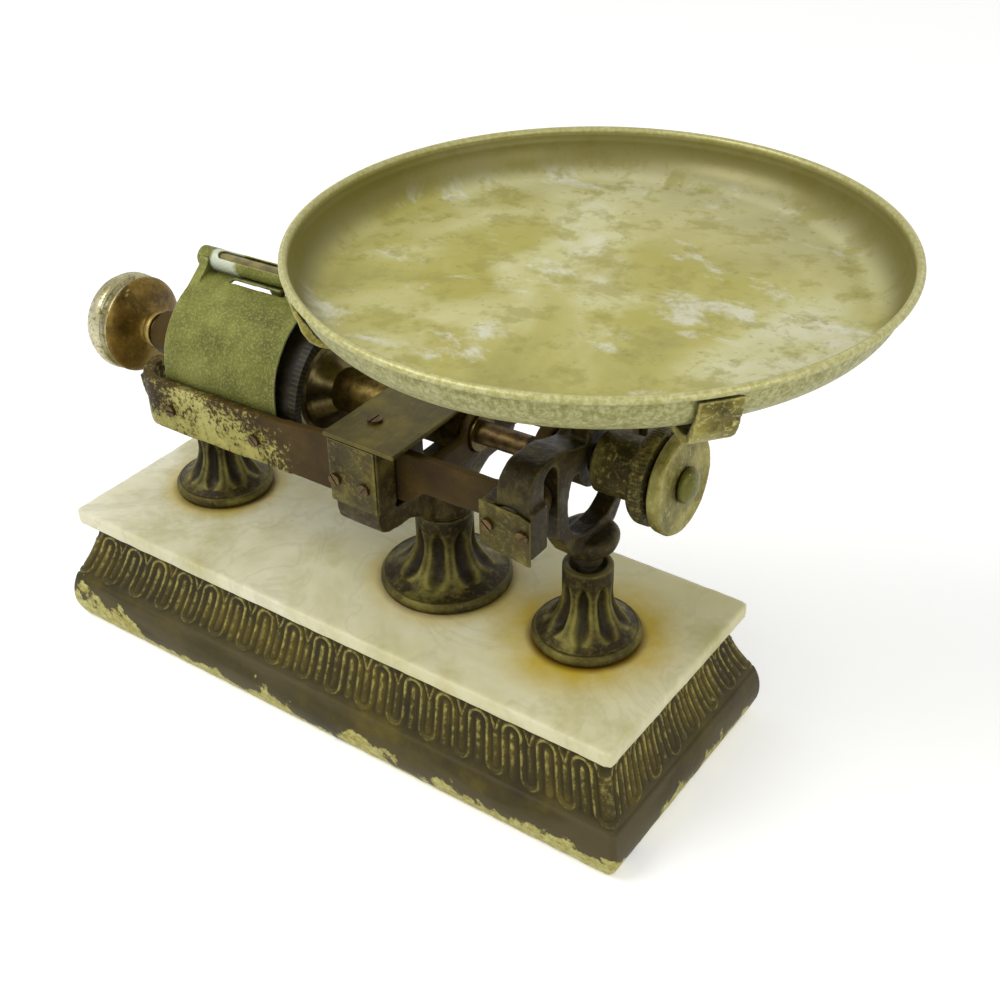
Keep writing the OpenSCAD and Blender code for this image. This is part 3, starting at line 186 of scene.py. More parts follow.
def leaf_relief(u, v):
    """Height in mm of the carving, u mm across from the middle of a unit and v mm up the moulding.
    Distance d to a winding ribbon (half circles joined by straight legs), a tongue with a bead in each
    arch, a tongue in each cup and a forked dart between arches; each stands h * exp(-(d / w) ** 2) high."""
    high, low, bend = 22.0, 7.2, 4.5
    across = np.abs(u)
    other = LEAF_PITCH / 2 - across

    def capsule(x, y, x0, y0, x1, y1):
        dx, dy = x1 - x0, y1 - y0
        along = np.clip(((x - x0) * dx + (y - y0) * dy) / (dx ** 2 + dy ** 2), 0, 1)
        return np.hypot(x - x0 - along * dx, y - y0 - along * dy)

    arch = np.where(v > high, np.abs(np.hypot(across, v - high) - bend), np.abs(across - bend))
    cup = np.abs(np.hypot(other, v - low) - (LEAF_PITCH / 2 - bend))
    ribbon = np.where(v < low, cup, arch)
    relief = 1.25 * np.exp(-(ribbon / 0.95) ** 2)
    relief = np.maximum(relief, 0.95 * np.exp(-(capsule(across, v, 0, 5, 0, high - 1.5) / 1.5) ** 4))
    relief = np.maximum(relief, 1.35 * np.exp(-(np.hypot(across, v - high + 0.3) / 1.15) ** 2))
    relief = np.maximum(relief, 0.85 * np.exp(-(capsule(other, v, 0, 6.5, 0, high - 3) / 1.3) ** 4))
    fork = capsule(other, v, 0.2, high - 1, 2.4, high + 5)
    return np.maximum(relief, 1.05 * np.exp(-(fork / 0.75) ** 2))


def base_profile():
    """The moulding's closed outline as (reach past the slab, height): a parabola for the rolled plinth, a
    sine for the hollow above it, then the ledge and the inner wall, back down to the rim."""
    plinth_top, ledge = 25, 55.9
    z = np.linspace(0, plinth_top, PLINTH_ROWS)
    middle = plinth_top / 2
    plinth = 6.8 - 3.8 * (1 - z / middle) ** 2 * np.where(z < middle, 1, 0.6)
    plinth[0] -= 0.7
    z[1], plinth[1] = 0.9, 3.4
    zs = np.linspace(plinth_top, ledge, BAND_ROWS)
    hollow = 3.8 - 10.3 * np.sin(np.pi / 2 * (zs - plinth_top) / (ledge - plinth_top))
    inner = np.array([[-18.5, ledge], [-18.5, 50.9], [-11.5, 50.9], [-9, 42], [-4, 30], [-1.2, plinth_top],
                      [1.6, 12], [-1.6, 3], [-2.0, 0]])
    return np.concatenate([np.c_[plinth, z], np.c_[hollow, zs], inner])


def base_mesh():
    """Grid (s, k): s runs round a rectangle whose half sides grow by the reach of outline point k, with
    corners of 2.5 mm; in the carved band a point also stands out by the relief at s and its height up the
    moulding. The plinth's foot is chewed by up to half a millimetre."""
    outline = base_profile()
    reach, height = outline[:, 0], outline[:, 1]
    rows = np.arange(len(outline))
    band = slice(PLINTH_ROWS, PLINTH_ROWS + BAND_ROWS)
    carved = (rows >= band.start) & (rows < band.stop)
    climb = np.r_[0, np.cumsum(np.hypot(np.diff(reach[band]), np.diff(height[band])))]
    up_moulding = np.zeros(len(outline))
    up_moulding[band] = climb
    corner, steps_per_leaf = 2.5, 22
    rounds = np.radians(np.linspace(0, 45, 6))
    at_end = np.ones(len(rounds) - 1)
    two_sides = ((HALF_LENGTH, HALF_WIDTH, 17), (HALF_WIDTH, HALF_LENGTH, 7))
    sides = []
    for turn, (half, other, leaves) in enumerate(2 * two_sides):
        share = np.linspace(-1, 1, leaves * steps_per_leaf + 1)
        theta = np.r_[-rounds[:0:-1], np.zeros(len(share)), rounds[1:]]
        share = np.r_[-at_end, share, at_end]
        leaf = ((share + 1) / 2 * leaves) % 1 - 0.5
        lift = leaf_relief(leaf[:, None] * LEAF_PITCH, up_moulding[None, :]) * carved[None, :]
        lift *= np.clip(up_moulding / 1.2, 0, 1) * np.clip(climb[-1] - up_moulding, 0, 1)
        long_half = half + reach[None, :] - corner
        x = share[:, None] * long_half + (corner + lift) * np.sin(theta)[:, None]
        y = -(other + reach[None, :] - corner) - (corner + lift) * np.cos(theta)[:, None]
        c, s = math.cos(turn * math.pi / 2), math.sin(turn * math.pi / 2)
        z = np.broadcast_to(height[None, :], x.shape)
        sides.append((np.stack([c * x - s * y, s * x + c * y, z], -1)[:-1], lift[:-1]))
    points, lift = (np.concatenate(part) for part in zip(*sides))
    rough = lattice(points.reshape(-1, 3), 3.1, 5).reshape(lift.shape)
    near_foot = np.clip(1 - points[..., 2] / 9, 0, 1) * (rows < PLINTH_ROWS)
    inward = -np.sign(points[..., :2]) * (np.abs(points[..., :2]) > np.array([150, 56]))
    points[..., :2] += inward * (0.25 * (1 + rough) * near_foot)[..., None]
    return points, lift


def grid_faces(rows, columns, wrap_rows=True, wrap_columns=True):
    """Corner numbers of the quads of a grid, wrapped round where it closes on itself."""
    i = np.arange(rows if wrap_rows else rows - 1)
    j = np.arange(columns if wrap_columns else columns - 1)
    i, j = (g.ravel() for g in np.meshgrid(i, j, indexing="ij"))
    n, m = (i + 1) % rows, (j + 1) % columns
    return np.stack([i * columns + j, n * columns + j, n * columns + m, i * columns + m], -1)


def mesh_of(name, points, faces):
    """A mesh in metres from points in mm and quads or triangles."""
    mesh = bpy.data.meshes.new(name)
    mesh.from_pydata((points.reshape(-1, 3) * MM).tolist(), [], [list(f) for f in faces])
    return mesh


def store(mesh, name, values):
    """Keeps one number for each vertex, which the piece's material reads by its name."""
    mesh.attributes.new(name, "FLOAT", "POINT").data.foreach_set("value", values.ravel().astype(np.float32))


def lay(tree, coat, shade, where, start, end, depth=1.0):
    """A coat with another shade laid over it, none of it where the value is at start and depth at end."""
    share = add(tree, "MapRange", {"Value": where, "From Min": start, "From Max": end, "To Max": depth})
    shade = tint(shade) if isinstance(shade, str) else shade
    return add(tree, "Mix", {0: share, 6: coat, 7: shade}, data_type="RGBA").outputs[2]


def hollow_shade_and_dirt(tree, coat, shade, reach, start, end, depth):
    """Painted shade, with dirt: the coat darkens where the surface is sheltered within the given reach in
    metres.
    """
    shelter = add(tree, "AmbientOcclusion", {"Distance": reach}, samples=6).outputs["AO"]
    return lay(tree, coat, shade, shelter, start, end, depth)


# Painted cast iron: brown-black enamel, gone olive and dull, with pale worn iron on the ridges. The paint
# clouds over 25 mm, its specks are 3 mm, and it has come off along the foot in chips of up to 40 mm.
painted_iron, t = material("worn_painted_cast_iron")
place = add(t, "TexCoord").outputs["Object"]
height = add(t, "SeparateXYZ", {0: place}).outputs["Z"]
clouds = add(t, "TexNoise", {"Vector": place, "Scale": 38, "Detail": 7, "Roughness": 0.62})
specks = add(t, "TexNoise", {"Vector": place, "Scale": 330, "Detail": 4, "Roughness": 0.7})
paint = add(t, "ValToRGB", {0: clouds}, [(0.3, "#292309"), (0.5, "#40370f"), (0.68, "#5c5019")])
raised = add(t, "Attribute", attribute_name="raised").outputs["Fac"]
climb = add(t, "MapRange", {"Value": height, "From Min": 0.027, "From Max": 0.046, "To Min": 0.62,
            "To Max": 1.12})
worn = add(t, "Math", {0: raised, 1: climb}, operation="MULTIPLY")
rub = add(t, "Math", {0: worn, 1: add(t, "MapRange", {"Value": specks, "From Min": 0.3, "From Max": 0.7,
          "To Min": 0.35, "To Max": 1.25})}, operation="MULTIPLY")
rubbed = lay(t, paint, "#a39750", rub, 0.42, 0.95)
# Painted shade and dirt: the low parts of the carved band, between the ridges, darken toward near black.
hollow = add(t, "MapRange", {"Value": raised, "From Max": 0.25, "To Min": 0.72, "To Max": 0.0})
in_band = add(t, "MapRange", {"Value": height, "From Min": 0.0255, "From Max": 0.029})
carving_shade_and_dirt = add(t, "Mix", {0: add(t, "Math", {0: hollow, 1: in_band}, operation="MULTIPLY"),
            6: rubbed, 7: tint("#241d08")}, data_type="RGBA").outputs[2]
smear = add(t, "TexNoise", {"Vector": add(t, "Mapping", {"Vector": place, "Scale": (1, 1, 5)}),
            "Scale": 14, "Detail": 3})
smear = add(t, "MapRange", {"Value": smear, "From Min": 0.42, "From Max": 0.56})
below = add(t, "MapRange", {"Value": height, "From Min": 0.029, "From Max": 0.024})
smear = add(t, "Math", {0: smear, 1: below}, operation="MULTIPLY")
smeared = add(t, "Mix", {0: smear, 6: carving_shade_and_dirt, 7: tint("#4c4327")}, data_type="RGBA").outputs[2]
chips = add(t, "TexNoise", {"Vector": place, "Scale": 26, "Detail": 9, "Roughness": 0.66})
chips = add(t, "Math", {0: chips, 1: add(t, "MapRange", {"Value": height, "From Min": 0.001,
            "From Max": 0.024, "To Min": 0.17, "To Max": -0.15})}, operation="ADD")
leftward = add(t, "MapRange", {"Value": add(t, "SeparateXYZ", {0: place}).outputs["X"], "From Min": -0.15,
               "From Max": 0.06, "To Min": 0.035, "To Max": -0.03})
chips = add(t, "Math", {0: chips, 1: leftward}, operation="ADD")
chipped = add(t, "MapRange", {"Value": chips, "From Min": 0.53, "From Max": 0.555})
bare = add(t, "ValToRGB", {0: specks}, [(0.35, "#8f8238"), (0.55, "#b3ad66"), (0.7, "#cbc68c")])
coat = add(t, "Mix", {0: chipped, 6: smeared, 7: bare}, data_type="RGBA").outputs[2]
grain = add(t, "Math", {0: chipped, 1: -0.8, 2: specks}, operation="MULTIPLY_ADD")
rough = add(t, "Bump", {"Height": grain, "Strength": 0.5, "Distance": 0.0004})
add(t, "OutputMaterial", {"Surface": add(t, "BsdfPrincipled", {
    "Base Color": coat, "Metallic": 0.1, "Specular IOR Level": 0.22, "Normal": rough,
    "Roughness": add(t, "MapRange", {"Value": clouds, "To Min": 0.42, "To Max": 0.66})})})

points, lift = base_mesh()
mesh = mesh_of("base", points + np.array([FRAME_X, 0, 0]), grid_faces(*lift.shape))
store(mesh, "raised", np.clip(lift / 1.25, 0, 1))
finish_piece(mesh, "base_casting", "carved_base", painted_iron)


# Slab: honed white marble, sawn and ground, lying loose on the base under the nuts of the pedestals.
# Its edges are rubbed round, and iron has bled rust-yellow rings round the feet.
def soften(node, cell, passes, finish, name, seed=None, waste=0.0, wave=4.0):
    """A worn or cast edge is never sharp: a copy of the node is rebuilt on a cubic grid of cells, each vertex
    moves half way to the mean of its neighbours a few times, and lumps of the given depth are taken off."""
    mesh = frame["nodes"][node].data.copy()
    weld = bmesh.new()
    weld.from_mesh(mesh)
    bmesh.ops.remove_doubles(weld, verts=weld.verts, dist=1e-6)
    weld.to_mesh(mesh)
    weld.free()
    rough = bpy.data.objects.new("rough", mesh)
    bpy.context.scene.collection.objects.link(rough)
    grid = rough.modifiers.new("grid", "REMESH")
    grid.mode, grid.voxel_size = "VOXEL", cell * MM
    ease = rough.modifiers.new("ease", "SMOOTH")
    ease.factor, ease.iterations = 0.5, passes
    shaped = bpy.data.meshes.new_from_object(rough.evaluated_get(bpy.context.evaluated_depsgraph_get()))
    bpy.data.objects.remove(rough)
    bpy.data.meshes.remove(mesh)
    if waste:
        place = np.empty(len(shaped.vertices) * 3)
        shaped.vertices.foreach_get("co", place)
        place = place.reshape(-1, 3)
        out = np.empty(len(shaped.vertices) * 3, np.float32)
        shaped.vertex_normals.foreach_get("vector", out)
        lumps = lattice(place / MM, wave, seed) * 0.6 + lattice(place / MM, wave * 0.43, seed + 1) * 0.4
        place -= out.reshape(-1, 3) * ((0.5 + 0.5 * lumps) * waste * MM)[:, None]
        shaped.vertices.foreach_set("co", place.ravel())
    return finish_piece(shaped, node, name, finish, recalculate=False)


# Honed marble: white in clouds of 110 mm, with grey veins 60 mm apart, soft under the light and without a
# gloss. It has yellowed toward the right, in ochre blotches of 50 mm. Grinding left marks 4 mm long.
marble, t = material("honed_white_marble")
place = add(t, "TexCoord").outputs["Object"]
flat = add(t, "VectorMath", {0: place, 1: (1, 1, 0)}, operation="MULTIPLY")
clouds = add(t, "TexNoise", {"Vector": place, "Scale": 9, "Detail": 8, "Roughness": 0.6, "Distortion": 0.6})
white = add(t, "ValToRGB", {0: clouds}, [(0.3, "#c3bf94"), (0.45, "#dcd8b8"), (0.62, "#eeebd6")])
veins = add(t, "TexNoise", {"Vector": place, "Scale": 16, "Detail": 10, "Roughness": 0.55, "Distortion": 2.2})
vein = add(t, "ValToRGB", {0: veins}, [(0.46, 0.0), (0.5, 1.0), (0.54, 0.0)])
veined = add(t, "Mix", {0: add(t, "Math", {0: vein, 1: 0.28}, operation="MULTIPLY"),
             6: white, 7: tint("#a9aa8a")}, data_type="RGBA").outputs[2]
blots = add(t, "TexNoise", {"Vector": place, "Scale": 21, "Detail": 6, "Roughness": 0.7})
along = add(t, "SeparateXYZ", {0: place}).outputs["X"]
aged = add(t, "Math", {0: blots, 1: 0.2, 2: along}, operation="MULTIPLY_ADD")
shade = lay(t, veined, "#c4bb78", aged, -0.02, 0.17, 0.5)
# Round each foot lies a stain that fades out over its reach, in mm, with a dark line of rust at the foot.
for centre, foot, reach, depth in ((-130.94, 24, 11, 0.75), (5.86, 30, 12, 0.55), (80.26, 24, 26, 1.0)):
    away = add(t, "VectorMath", {0: flat, 1: (centre * MM, 0, 0)}, operation="DISTANCE").outputs["Value"]
    near = add(t, "MapRange", {"Value": away, "From Min": (foot + reach) * MM, "From Max": foot * MM,
               "To Max": depth}, interpolation_type="SMOOTHSTEP")
    near = add(t, "Math", {0: near, 1: add(t, "MapRange", {"Value": blots, "From Min": 0.3, "From Max": 0.62,
               "To Min": 0.45, "To Max": 1.25})}, operation="MULTIPLY", use_clamp=True)
    shade = add(t, "Mix", {0: near, 6: shade, 7: tint("#bfa52c")}, data_type="RGBA").outputs[2]
    rust = add(t, "MapRange", {"Value": away, "From Min": (foot + 3.5) * MM, "From Max": (foot - 1) * MM,
               "To Max": depth}, interpolation_type="SMOOTHSTEP")
    shade = add(t, "Mix", {0: rust, 6: shade, 7: tint("#6f5108")}, data_type="RGBA").outputs[2]
ochre = add(t, "ValToRGB", {0: add(t, "TexNoise", {"Vector": place, "Scale": 17, "Detail": 5,
            "Roughness": 0.65})}, [(0.53, 0.0), (0.68, 0.65)])
shade = add(t, "Mix", {0: ochre, 6: shade, 7: tint("#aca35c")}, data_type="RGBA").outputs[2]
scratch = add(t, "TexNoise", {"Vector": place, "Scale": 240, "Detail": 5})
add(t, "OutputMaterial", {"Surface": add(t, "BsdfPrincipled", {
    "Base Color": shade, "Roughness": 0.42, "Specular IOR Level": 0.3, "Subsurface Weight": 0.06,
    "Subsurface Radius": (0.004, 0.004, 0.003),
    "Normal": add(t, "Bump", {"Height": scratch, "Strength": 0.12, "Distance": 0.0002})})})
soften("marble_slab", 1.1, 3, marble, "worn_slab", seed=11, waste=0.5, wave=7.0)


# Pedestals: cast trumpet feet with eight sunk flutes that end above a plain ring. A stud holds each one
# through the slab, and the right hand one is bored for the stem of the pan.
def ring_mesh(outline, squeeze, count, poles):
    """Grid (a, k): outline point k, as (radius, height), is carried round the axis by the angle a, and its
    radius is less by squeeze(a, k); a pole closes each end of an outline that starts and ends on the axis."""
    a = np.linspace(0, 2 * np.pi, count, endpoint=False)[:, None]
    r, z = outline[:, 0][None, :], outline[:, 1][None, :]
    r = np.broadcast_to(r - squeeze(a, r, z), (count, len(outline)))
    points = np.stack([r * np.cos(a), r * np.sin(a), np.broadcast_to(z, r.shape)], -1)
    if not poles:
        return points.reshape(-1, 3), list(grid_faces(count, len(outline)))
    inner = points[:, 1:-1]
    flat = np.concatenate([inner.reshape(-1, 3), [[0, 0, outline[0, 1]], [0, 0, outline[-1, 1]]]])
    faces = list(grid_faces(count, len(outline) - 2, True, False))
    m, total = len(outline) - 2, count * (len(outline) - 2)
    i = np.arange(count)
    n = (i + 1) % count
    faces += list(np.stack([n * m, i * m, np.full(count, total)], -1))
    faces += list(np.stack([i * m + m - 1, n * m + m - 1, np.full(count, total + 1)], -1))
    return flat, faces


def pedestal(node, x, foot, neck, tall, inner):
    """Radius by height: a ring, one circle arc that is hollow outward, then a straight neck. Each of eight
    flutes takes off depth * (1 - (a / w) ** 2) ** 0.8, with a half width w that closes like a round end above
    the ring. The worn ridges beside the flutes and the sunk flutes are stored for the finish."""
    flare, ring, rise = foot - 2, 5.0, 19.0
    centre = (flare ** 2 + rise ** 2 - neck ** 2) / (2 * (flare - neck))
    bend = centre - neck
    a = np.linspace(math.asin(rise / bend), 0, 44)
    arc = np.c_[centre - bend * np.cos(a), ring + rise - bend * np.sin(a)]
    rim = np.array([[foot - 1.2, 0], [foot - 0.3, 0.5], [foot, 1.4], [foot, 2.4], [foot - 0.1, 3.6],
                    [foot - 0.7, 4.5], [foot - 1.3, 4.9], [flare, 5.1]])
    top = np.array([[neck, tall - 1.0], [neck - 0.25, tall - 0.35], [neck - 0.9, tall]])
    neck_line = np.c_[np.full(8, neck), np.linspace(ring + rise + 1, tall - 2, 8)]
    outline = np.concatenate([rim, arc, neck_line, top, inner])

    def flutes(angle, r, z):
        away, half, opening, outside = across_flute(angle, r, z)
        depth = 2.3 * np.clip((z - 6.5) / 4, 0, 1) * np.clip((tall - 6 - z) / 5, 0, 1)
        return depth * np.clip(1 - (away / half) ** 2, 0, 1) ** 0.8 * outside

    def across_flute(angle, r, z):
        pitch = 2 * np.pi / 8
        opening = np.sqrt(np.clip((z - 7.0) / 4.0, 0, 1)) * np.clip((tall - 7 - z) / 6, 0, 1) ** 0.5
        return (np.abs((angle % pitch) - pitch / 2), 0.30 * pitch * opening + 1e-6, opening,
                (r > neck - 0.05) & (z > 5.5))

    count, slab_top = 256, 63.5
    points, faces = ring_mesh(outline, flutes, count, False)
    mesh = mesh_of(node, points + np.array([x + FRAME_X, 0, slab_top]), faces)
    around = np.linspace(0, 2 * np.pi, count, endpoint=False)[:, None]
    r, z = outline.T[:, None, :]
    away, half, opening, outside = across_flute(around, r, z)
    ridge = np.exp(-((away - half - 0.05) / 0.09) ** 2) * (opening > 0.3) * outside
    store(mesh, "rubbed", np.maximum(ridge, 0.8 * np.exp(-((z - 3) / 1.8) ** 2) * (r > flare - 1)))
    store(mesh, "sunk", np.clip(1.15 - (away / half) ** 2, 0, 1) * outside * opening)
    return mesh


def old_casting(name, deep, body, worn, rust, metal, roughness, rusty=0.35, specked=0.5):
    """Unpainted old casting, toned in clouds of 22 mm. Painted shade and dirt darken the hollows (occlusion
    and the stored flutes), handling brightens edges (pointiness and the stored ridges), 2.5 mm pits and
    specks break up both, and rust blooms in patches about 8 mm wide."""
    made, t = material(name)
    place = add(t, "TexCoord").outputs["Object"]
    clouds = add(t, "TexNoise", {"Vector": place, "Scale": 45, "Detail": 8, "Roughness": 0.65})
    specks = add(t, "TexNoise", {"Vector": place, "Scale": 420, "Detail": 5, "Roughness": 0.72})
    patches = add(t, "TexNoise", {"Vector": place, "Scale": 125, "Detail": 7, "Roughness": 0.7})
    coat = add(t, "ValToRGB", {0: clouds}, [(0.32, deep), (0.52, body), (0.72, worn)])
    coat = lay(t, coat, worn, specks, 0.52, 0.68, specked)
    point = add(t, "NewGeometry").outputs["Pointiness"]
    edge = add(t, "MapRange", {"Value": point, "From Min": 0.515, "From Max": 0.58})
    edge = add(t, "Math", {0: edge, 1: add(t, "MapRange", {"Value": patches, "From Min": 0.35,
               "From Max": 0.6, "To Min": 0.25, "To Max": 0.9})}, operation="MULTIPLY")
    rubbed = add(t, "Math", {0: add(t, "Attribute", attribute_name="rubbed").outputs["Fac"],
                 1: add(t, "MapRange", {"Value": clouds, "From Min": 0.38, "From Max": 0.6, "To Min": 0.15,
                 "To Max": 0.85})}, operation="MULTIPLY")
    edge = add(t, "Math", {0: edge, 1: rubbed}, operation="MAXIMUM")
    coat = add(t, "Mix", {0: edge, 6: coat, 7: tint(worn)}, data_type="RGBA").outputs[2]
    # Painted shade and dirt in the sunk flutes: they take most of the deep colour.
    sunk = add(t, "Math", {0: add(t, "Attribute", attribute_name="sunk").outputs["Fac"], 1: 0.85},
               operation="MULTIPLY")
    coat = add(t, "Mix", {0: sunk, 6: coat, 7: tint(deep)}, data_type="RGBA").outputs[2]
    coat = lay(t, coat, rust, patches, 0.52, 0.66, rusty)
    # Painted shade and dirt: the coat darkens toward the deep colour in hollows sheltered within 7 mm.
    coat = hollow_shade_and_dirt(t, coat, deep, 0.007, 0.75, 0.25, 0.85)
    grain = add(t, "Math", {0: specks, 1: patches}, operation="ADD")
    add(t, "OutputMaterial", {"Surface": add(t, "BsdfPrincipled", {
        "Base Color": coat, "Metallic": metal, "Specular IOR Level": 0.22,
        "Normal": add(t, "Bump", {"Height": grain, "Strength": 0.55, "Distance": 0.0005}),
        "Roughness": add(t, "MapRange", {"Value": patches, "From Min": 0.3, "From Max": 0.7,
                         "To Min": roughness - 0.1, "To Max": roughness + 0.18})})})
    return made


foot_iron = old_casting("old_bronzed_cast_iron", "#181205", "#2b230a", "#7d7536", "#46300d",
                        metal=0.35, roughness=0.44, rusty=0.35, specked=0.35)
for node, x, foot, neck, tall, inner in (
        ("left_pedestal", -107.0, 23.8, 10.8, 37.411, [[4.05, 37.411], [4.05, 0]]),
        ("middle_pedestal", 29.8, 29.8, 13.0, 38.0, [[4.05, 38], [4.05, 0]]),
        ("right_pedestal", 104.2, 23.8, 10.8, 38.0, [[8.0, 38], [8.0, -25.1], [9.8, -25.1], [9.8, 0]])):
    finish_piece(pedestal(node, x, foot, neck, tall, np.array(inner)), node,
                 node.replace("_pedestal", "_trumpet_foot"), foot_iron)


# Yoke: an iron casting on the middle pedestal. Two walls on each side straddle an arm of the beam and
# hold the bearing steels; its edges were fettled round, and it keeps a dark bronzed finish.
yoke_iron = old_casting("dark_bronzed_casting", "#1c1507", "#332910", "#6c622b", "#4a300f",
                        metal=0.35, roughness=0.45)
soften("fulcrum_yoke", 0.8, 5, yoke_iron, "cast_yoke", seed=21, waste=0.35)


# Plates and strip: cut from rolled brass and iron 1.2 to 1.8 mm thick, and screwed over the bearings. The
# brass has gone olive brown in clouds of 17 mm, and its bright scratches, 8 mm long and 1 mm wide, are
# coarser than the real ones.
rolled_brass, t = material("tarnished_rolled_brass")
place = add(t, "TexCoord").outputs["Object"]
clouds = add(t, "TexNoise", {"Vector": place, "Scale": 60, "Detail": 7, "Roughness": 0.6})
drawn = add(t, "TexNoise", {"Vector": add(t, "Mapping", {"Vector": place, "Scale": (9, 1, 3)}),
            "Scale": 120, "Detail": 5, "Roughness": 0.6})
brown = add(t, "ValToRGB", {0: clouds}, [(0.3, "#3a320d"), (0.5, "#524817"), (0.7, "#6c6125")])
brown = lay(t, brown, "#8d8044", drawn, 0.55, 0.75, 0.35)
add(t, "OutputMaterial", {"Surface": add(t, "BsdfPrincipled", {
    "Base Color": brown, "Metallic": 0.65, "Normal": add(t, "Bump", {
        "Height": drawn, "Strength": 0.25, "Distance": 0.0002}),
    "Roughness": add(t, "MapRange", {"Value": clouds, "To Min": 0.3, "To Max": 0.6})})})
plate_iron = old_casting("blackened_iron_plate", "#282008", "#473e13", "#887f3e", "#583c0d",
                         metal=0.35, roughness=0.42, rusty=0.25)
soften("tie_strip", 0.45, 2, rolled_brass, "rolled_strip")
soften("fulcrum_plates", 0.4, 2, plate_iron, "fulcrum_cover_plates", seed=31, waste=0.12)


# Screws, studs, nuts, knives and bearings: turned or ground steel, browned with age and oil.
# Only the heads and a few edges show.
def aged_steel(name, low, high, roughness):
    """Steel with a thin even brown: two close shades in 4 mm clouds and a fine turned grain."""
    made, t = material(name)
    place = add(t, "TexCoord").outputs["Object"]
    clouds = add(t, "TexNoise", {"Vector": place, "Scale": 250, "Detail": 6, "Roughness": 0.7})
    tone = add(t, "ValToRGB", {0: clouds}, [(0.35, low), (0.65, high)])
    add(t, "OutputMaterial", {"Surface": add(t, "BsdfPrincipled", {
        "Base Color": tone, "Metallic": 0.75, "Roughness": roughness,
        "Normal": add(t, "Bump", {"Height": clouds, "Strength": 0.3, "Distance": 0.0002})})})
    return made


def dress(finish, *names):
    """Gives CAD nodes whose shape is already right a finish in place of the plain one."""
    for name in names:
        slots = frame["nodes"][name].data.materials
        slots.clear()
        slots.append(finish)


screw_steel = aged_steel("browned_screw_steel", "#3a2c16", "#6a552c", roughness=0.42)
bright_steel = aged_steel("aged_bright_steel", "#55503a", "#8e8a72", roughness=0.34)
dress(screw_steel, "tie_strip_screws", "fulcrum_plate_screws", "cover_screws", "load_plate_screws",
      "hold_down_nuts", "ring_nut", "spider_nut", "spindle")
dress(bright_steel, "fulcrum_bearings", "load_bearings", "fulcrum_knives", "load_knives", "hold_down_studs",
      "check_bracket_pin", "stem_pin", "carrier_stem", "balance_stud", "check_rod", "stem_fork")
dress(yoke_iron, "clamp_bars", "check_bracket")

# Sole leather: dark, dry and matt, with pores drawn 1 mm wide, coarser than real, so that they show.
hide, t = material("hard_sole_leather")
place = add(t, "TexCoord").outputs["Object"]
pores = add(t, "TexVoronoi", {"Vector": place, "Scale": 900}).outputs["Distance"]
add(t, "OutputMaterial", {"Surface": add(t, "BsdfPrincipled", {
    "Base Color": add(t, "ValToRGB", {0: pores}, [(0.0, "#241a10"), (0.6, "#40301d")]),
    "Roughness": 0.7, "Normal": add(t, "Bump", {"Height": pores, "Strength": 0.4, "Distance": 0.0003})})})
dress(hide, "rest_pad")


# Beam: one iron casting, a loop round the drum on the left and two arms to the load knives on the right.
# The loop's plating is worn pale and speckled with rust, and the arms are brown all over.
FULCRUM_X, KNIFE_Z = 22, 145.5           # fulcrum knife: from the middle of the slab, and above the floor
REST_TILT = math.radians(2)              # at rest the drum end is down


def beam_place(tree):
    """Object coordinates turned back by the tilt about the fulcrum, so X runs along the beam, with zero on
    the fulcrum knife."""
    knife = ((FULCRUM_X + FRAME_X) * MM, 0, KNIFE_Z * MM)
    place = add(tree, "TexCoord").outputs["Object"]
    level = add(tree, "VectorRotate", {"Vector": place, "Center": knife, "Axis": (0, 1, 0),
                "Angle": REST_TILT}, rotation_type="AXIS_ANGLE")
    return add(tree, "VectorMath", {0: level, 1: knife}, operation="SUBTRACT")


# Plated iron: pale and satin in clouds of 25 mm, eaten through to matt brown rust in specks of 2.6 mm that
# crowd together toward the arms and on top; the plating is paler towards the bottom.
speckled_iron, t = material("worn_plated_cast_iron")
parts = add(t, "SeparateXYZ", {0: beam_place(t)})
along = parts.outputs["X"]
place = add(t, "TexCoord").outputs["Object"]
clouds = add(t, "TexNoise", {"Vector": place, "Scale": 40, "Detail": 8, "Roughness": 0.65})
specks = add(t, "TexNoise", {"Vector": place, "Scale": 380, "Detail": 7, "Roughness": 0.78})
plating = add(t, "ValToRGB", {0: clouds}, [(0.32, "#7a732e"), (0.5, "#989147"), (0.68, "#b4ae68")])
rust = add(t, "ValToRGB", {0: clouds}, [(0.3, "#2c1e05"), (0.5, "#3c2d0b"), (0.7, "#4e3c12")])
worn = add(t, "MapRange", {"Value": along, "From Min": -0.062, "From Max": -0.03, "To Min": 0.47,
           "To Max": 0.2})
worn = add(t, "Math", {0: clouds, 1: 0.5, 2: worn}, operation="MULTIPLY_ADD")
lower = add(t, "MapRange", {"Value": parts.outputs["Z"], "From Min": -0.02, "From Max": 0.002, "To Min": 0.08,
            "To Max": -0.06})
end = add(t, "MapRange", {"Value": along, "From Min": -0.1386, "From Max": -0.1394, "To Max": -0.4})
worn = add(t, "Math", {0: worn, 1: add(t, "Math", {0: lower, 1: end}, operation="ADD")}, operation="ADD")
cover = add(t, "Math", {0: worn, 1: specks}, operation="SUBTRACT")
plated = add(t, "MapRange", {"Value": cover, "From Min": 0.17, "From Max": 0.25})
top = add(t, "SeparateXYZ", {0: add(t, "NewGeometry").outputs["Normal"]}).outputs["Z"]
coat = add(t, "Mix", {0: plated, 6: rust, 7: plating}, data_type="RGBA").outputs[2]
coat = lay(t, coat, "#4c3b12", top, 0.5, 0.95, 0.55)
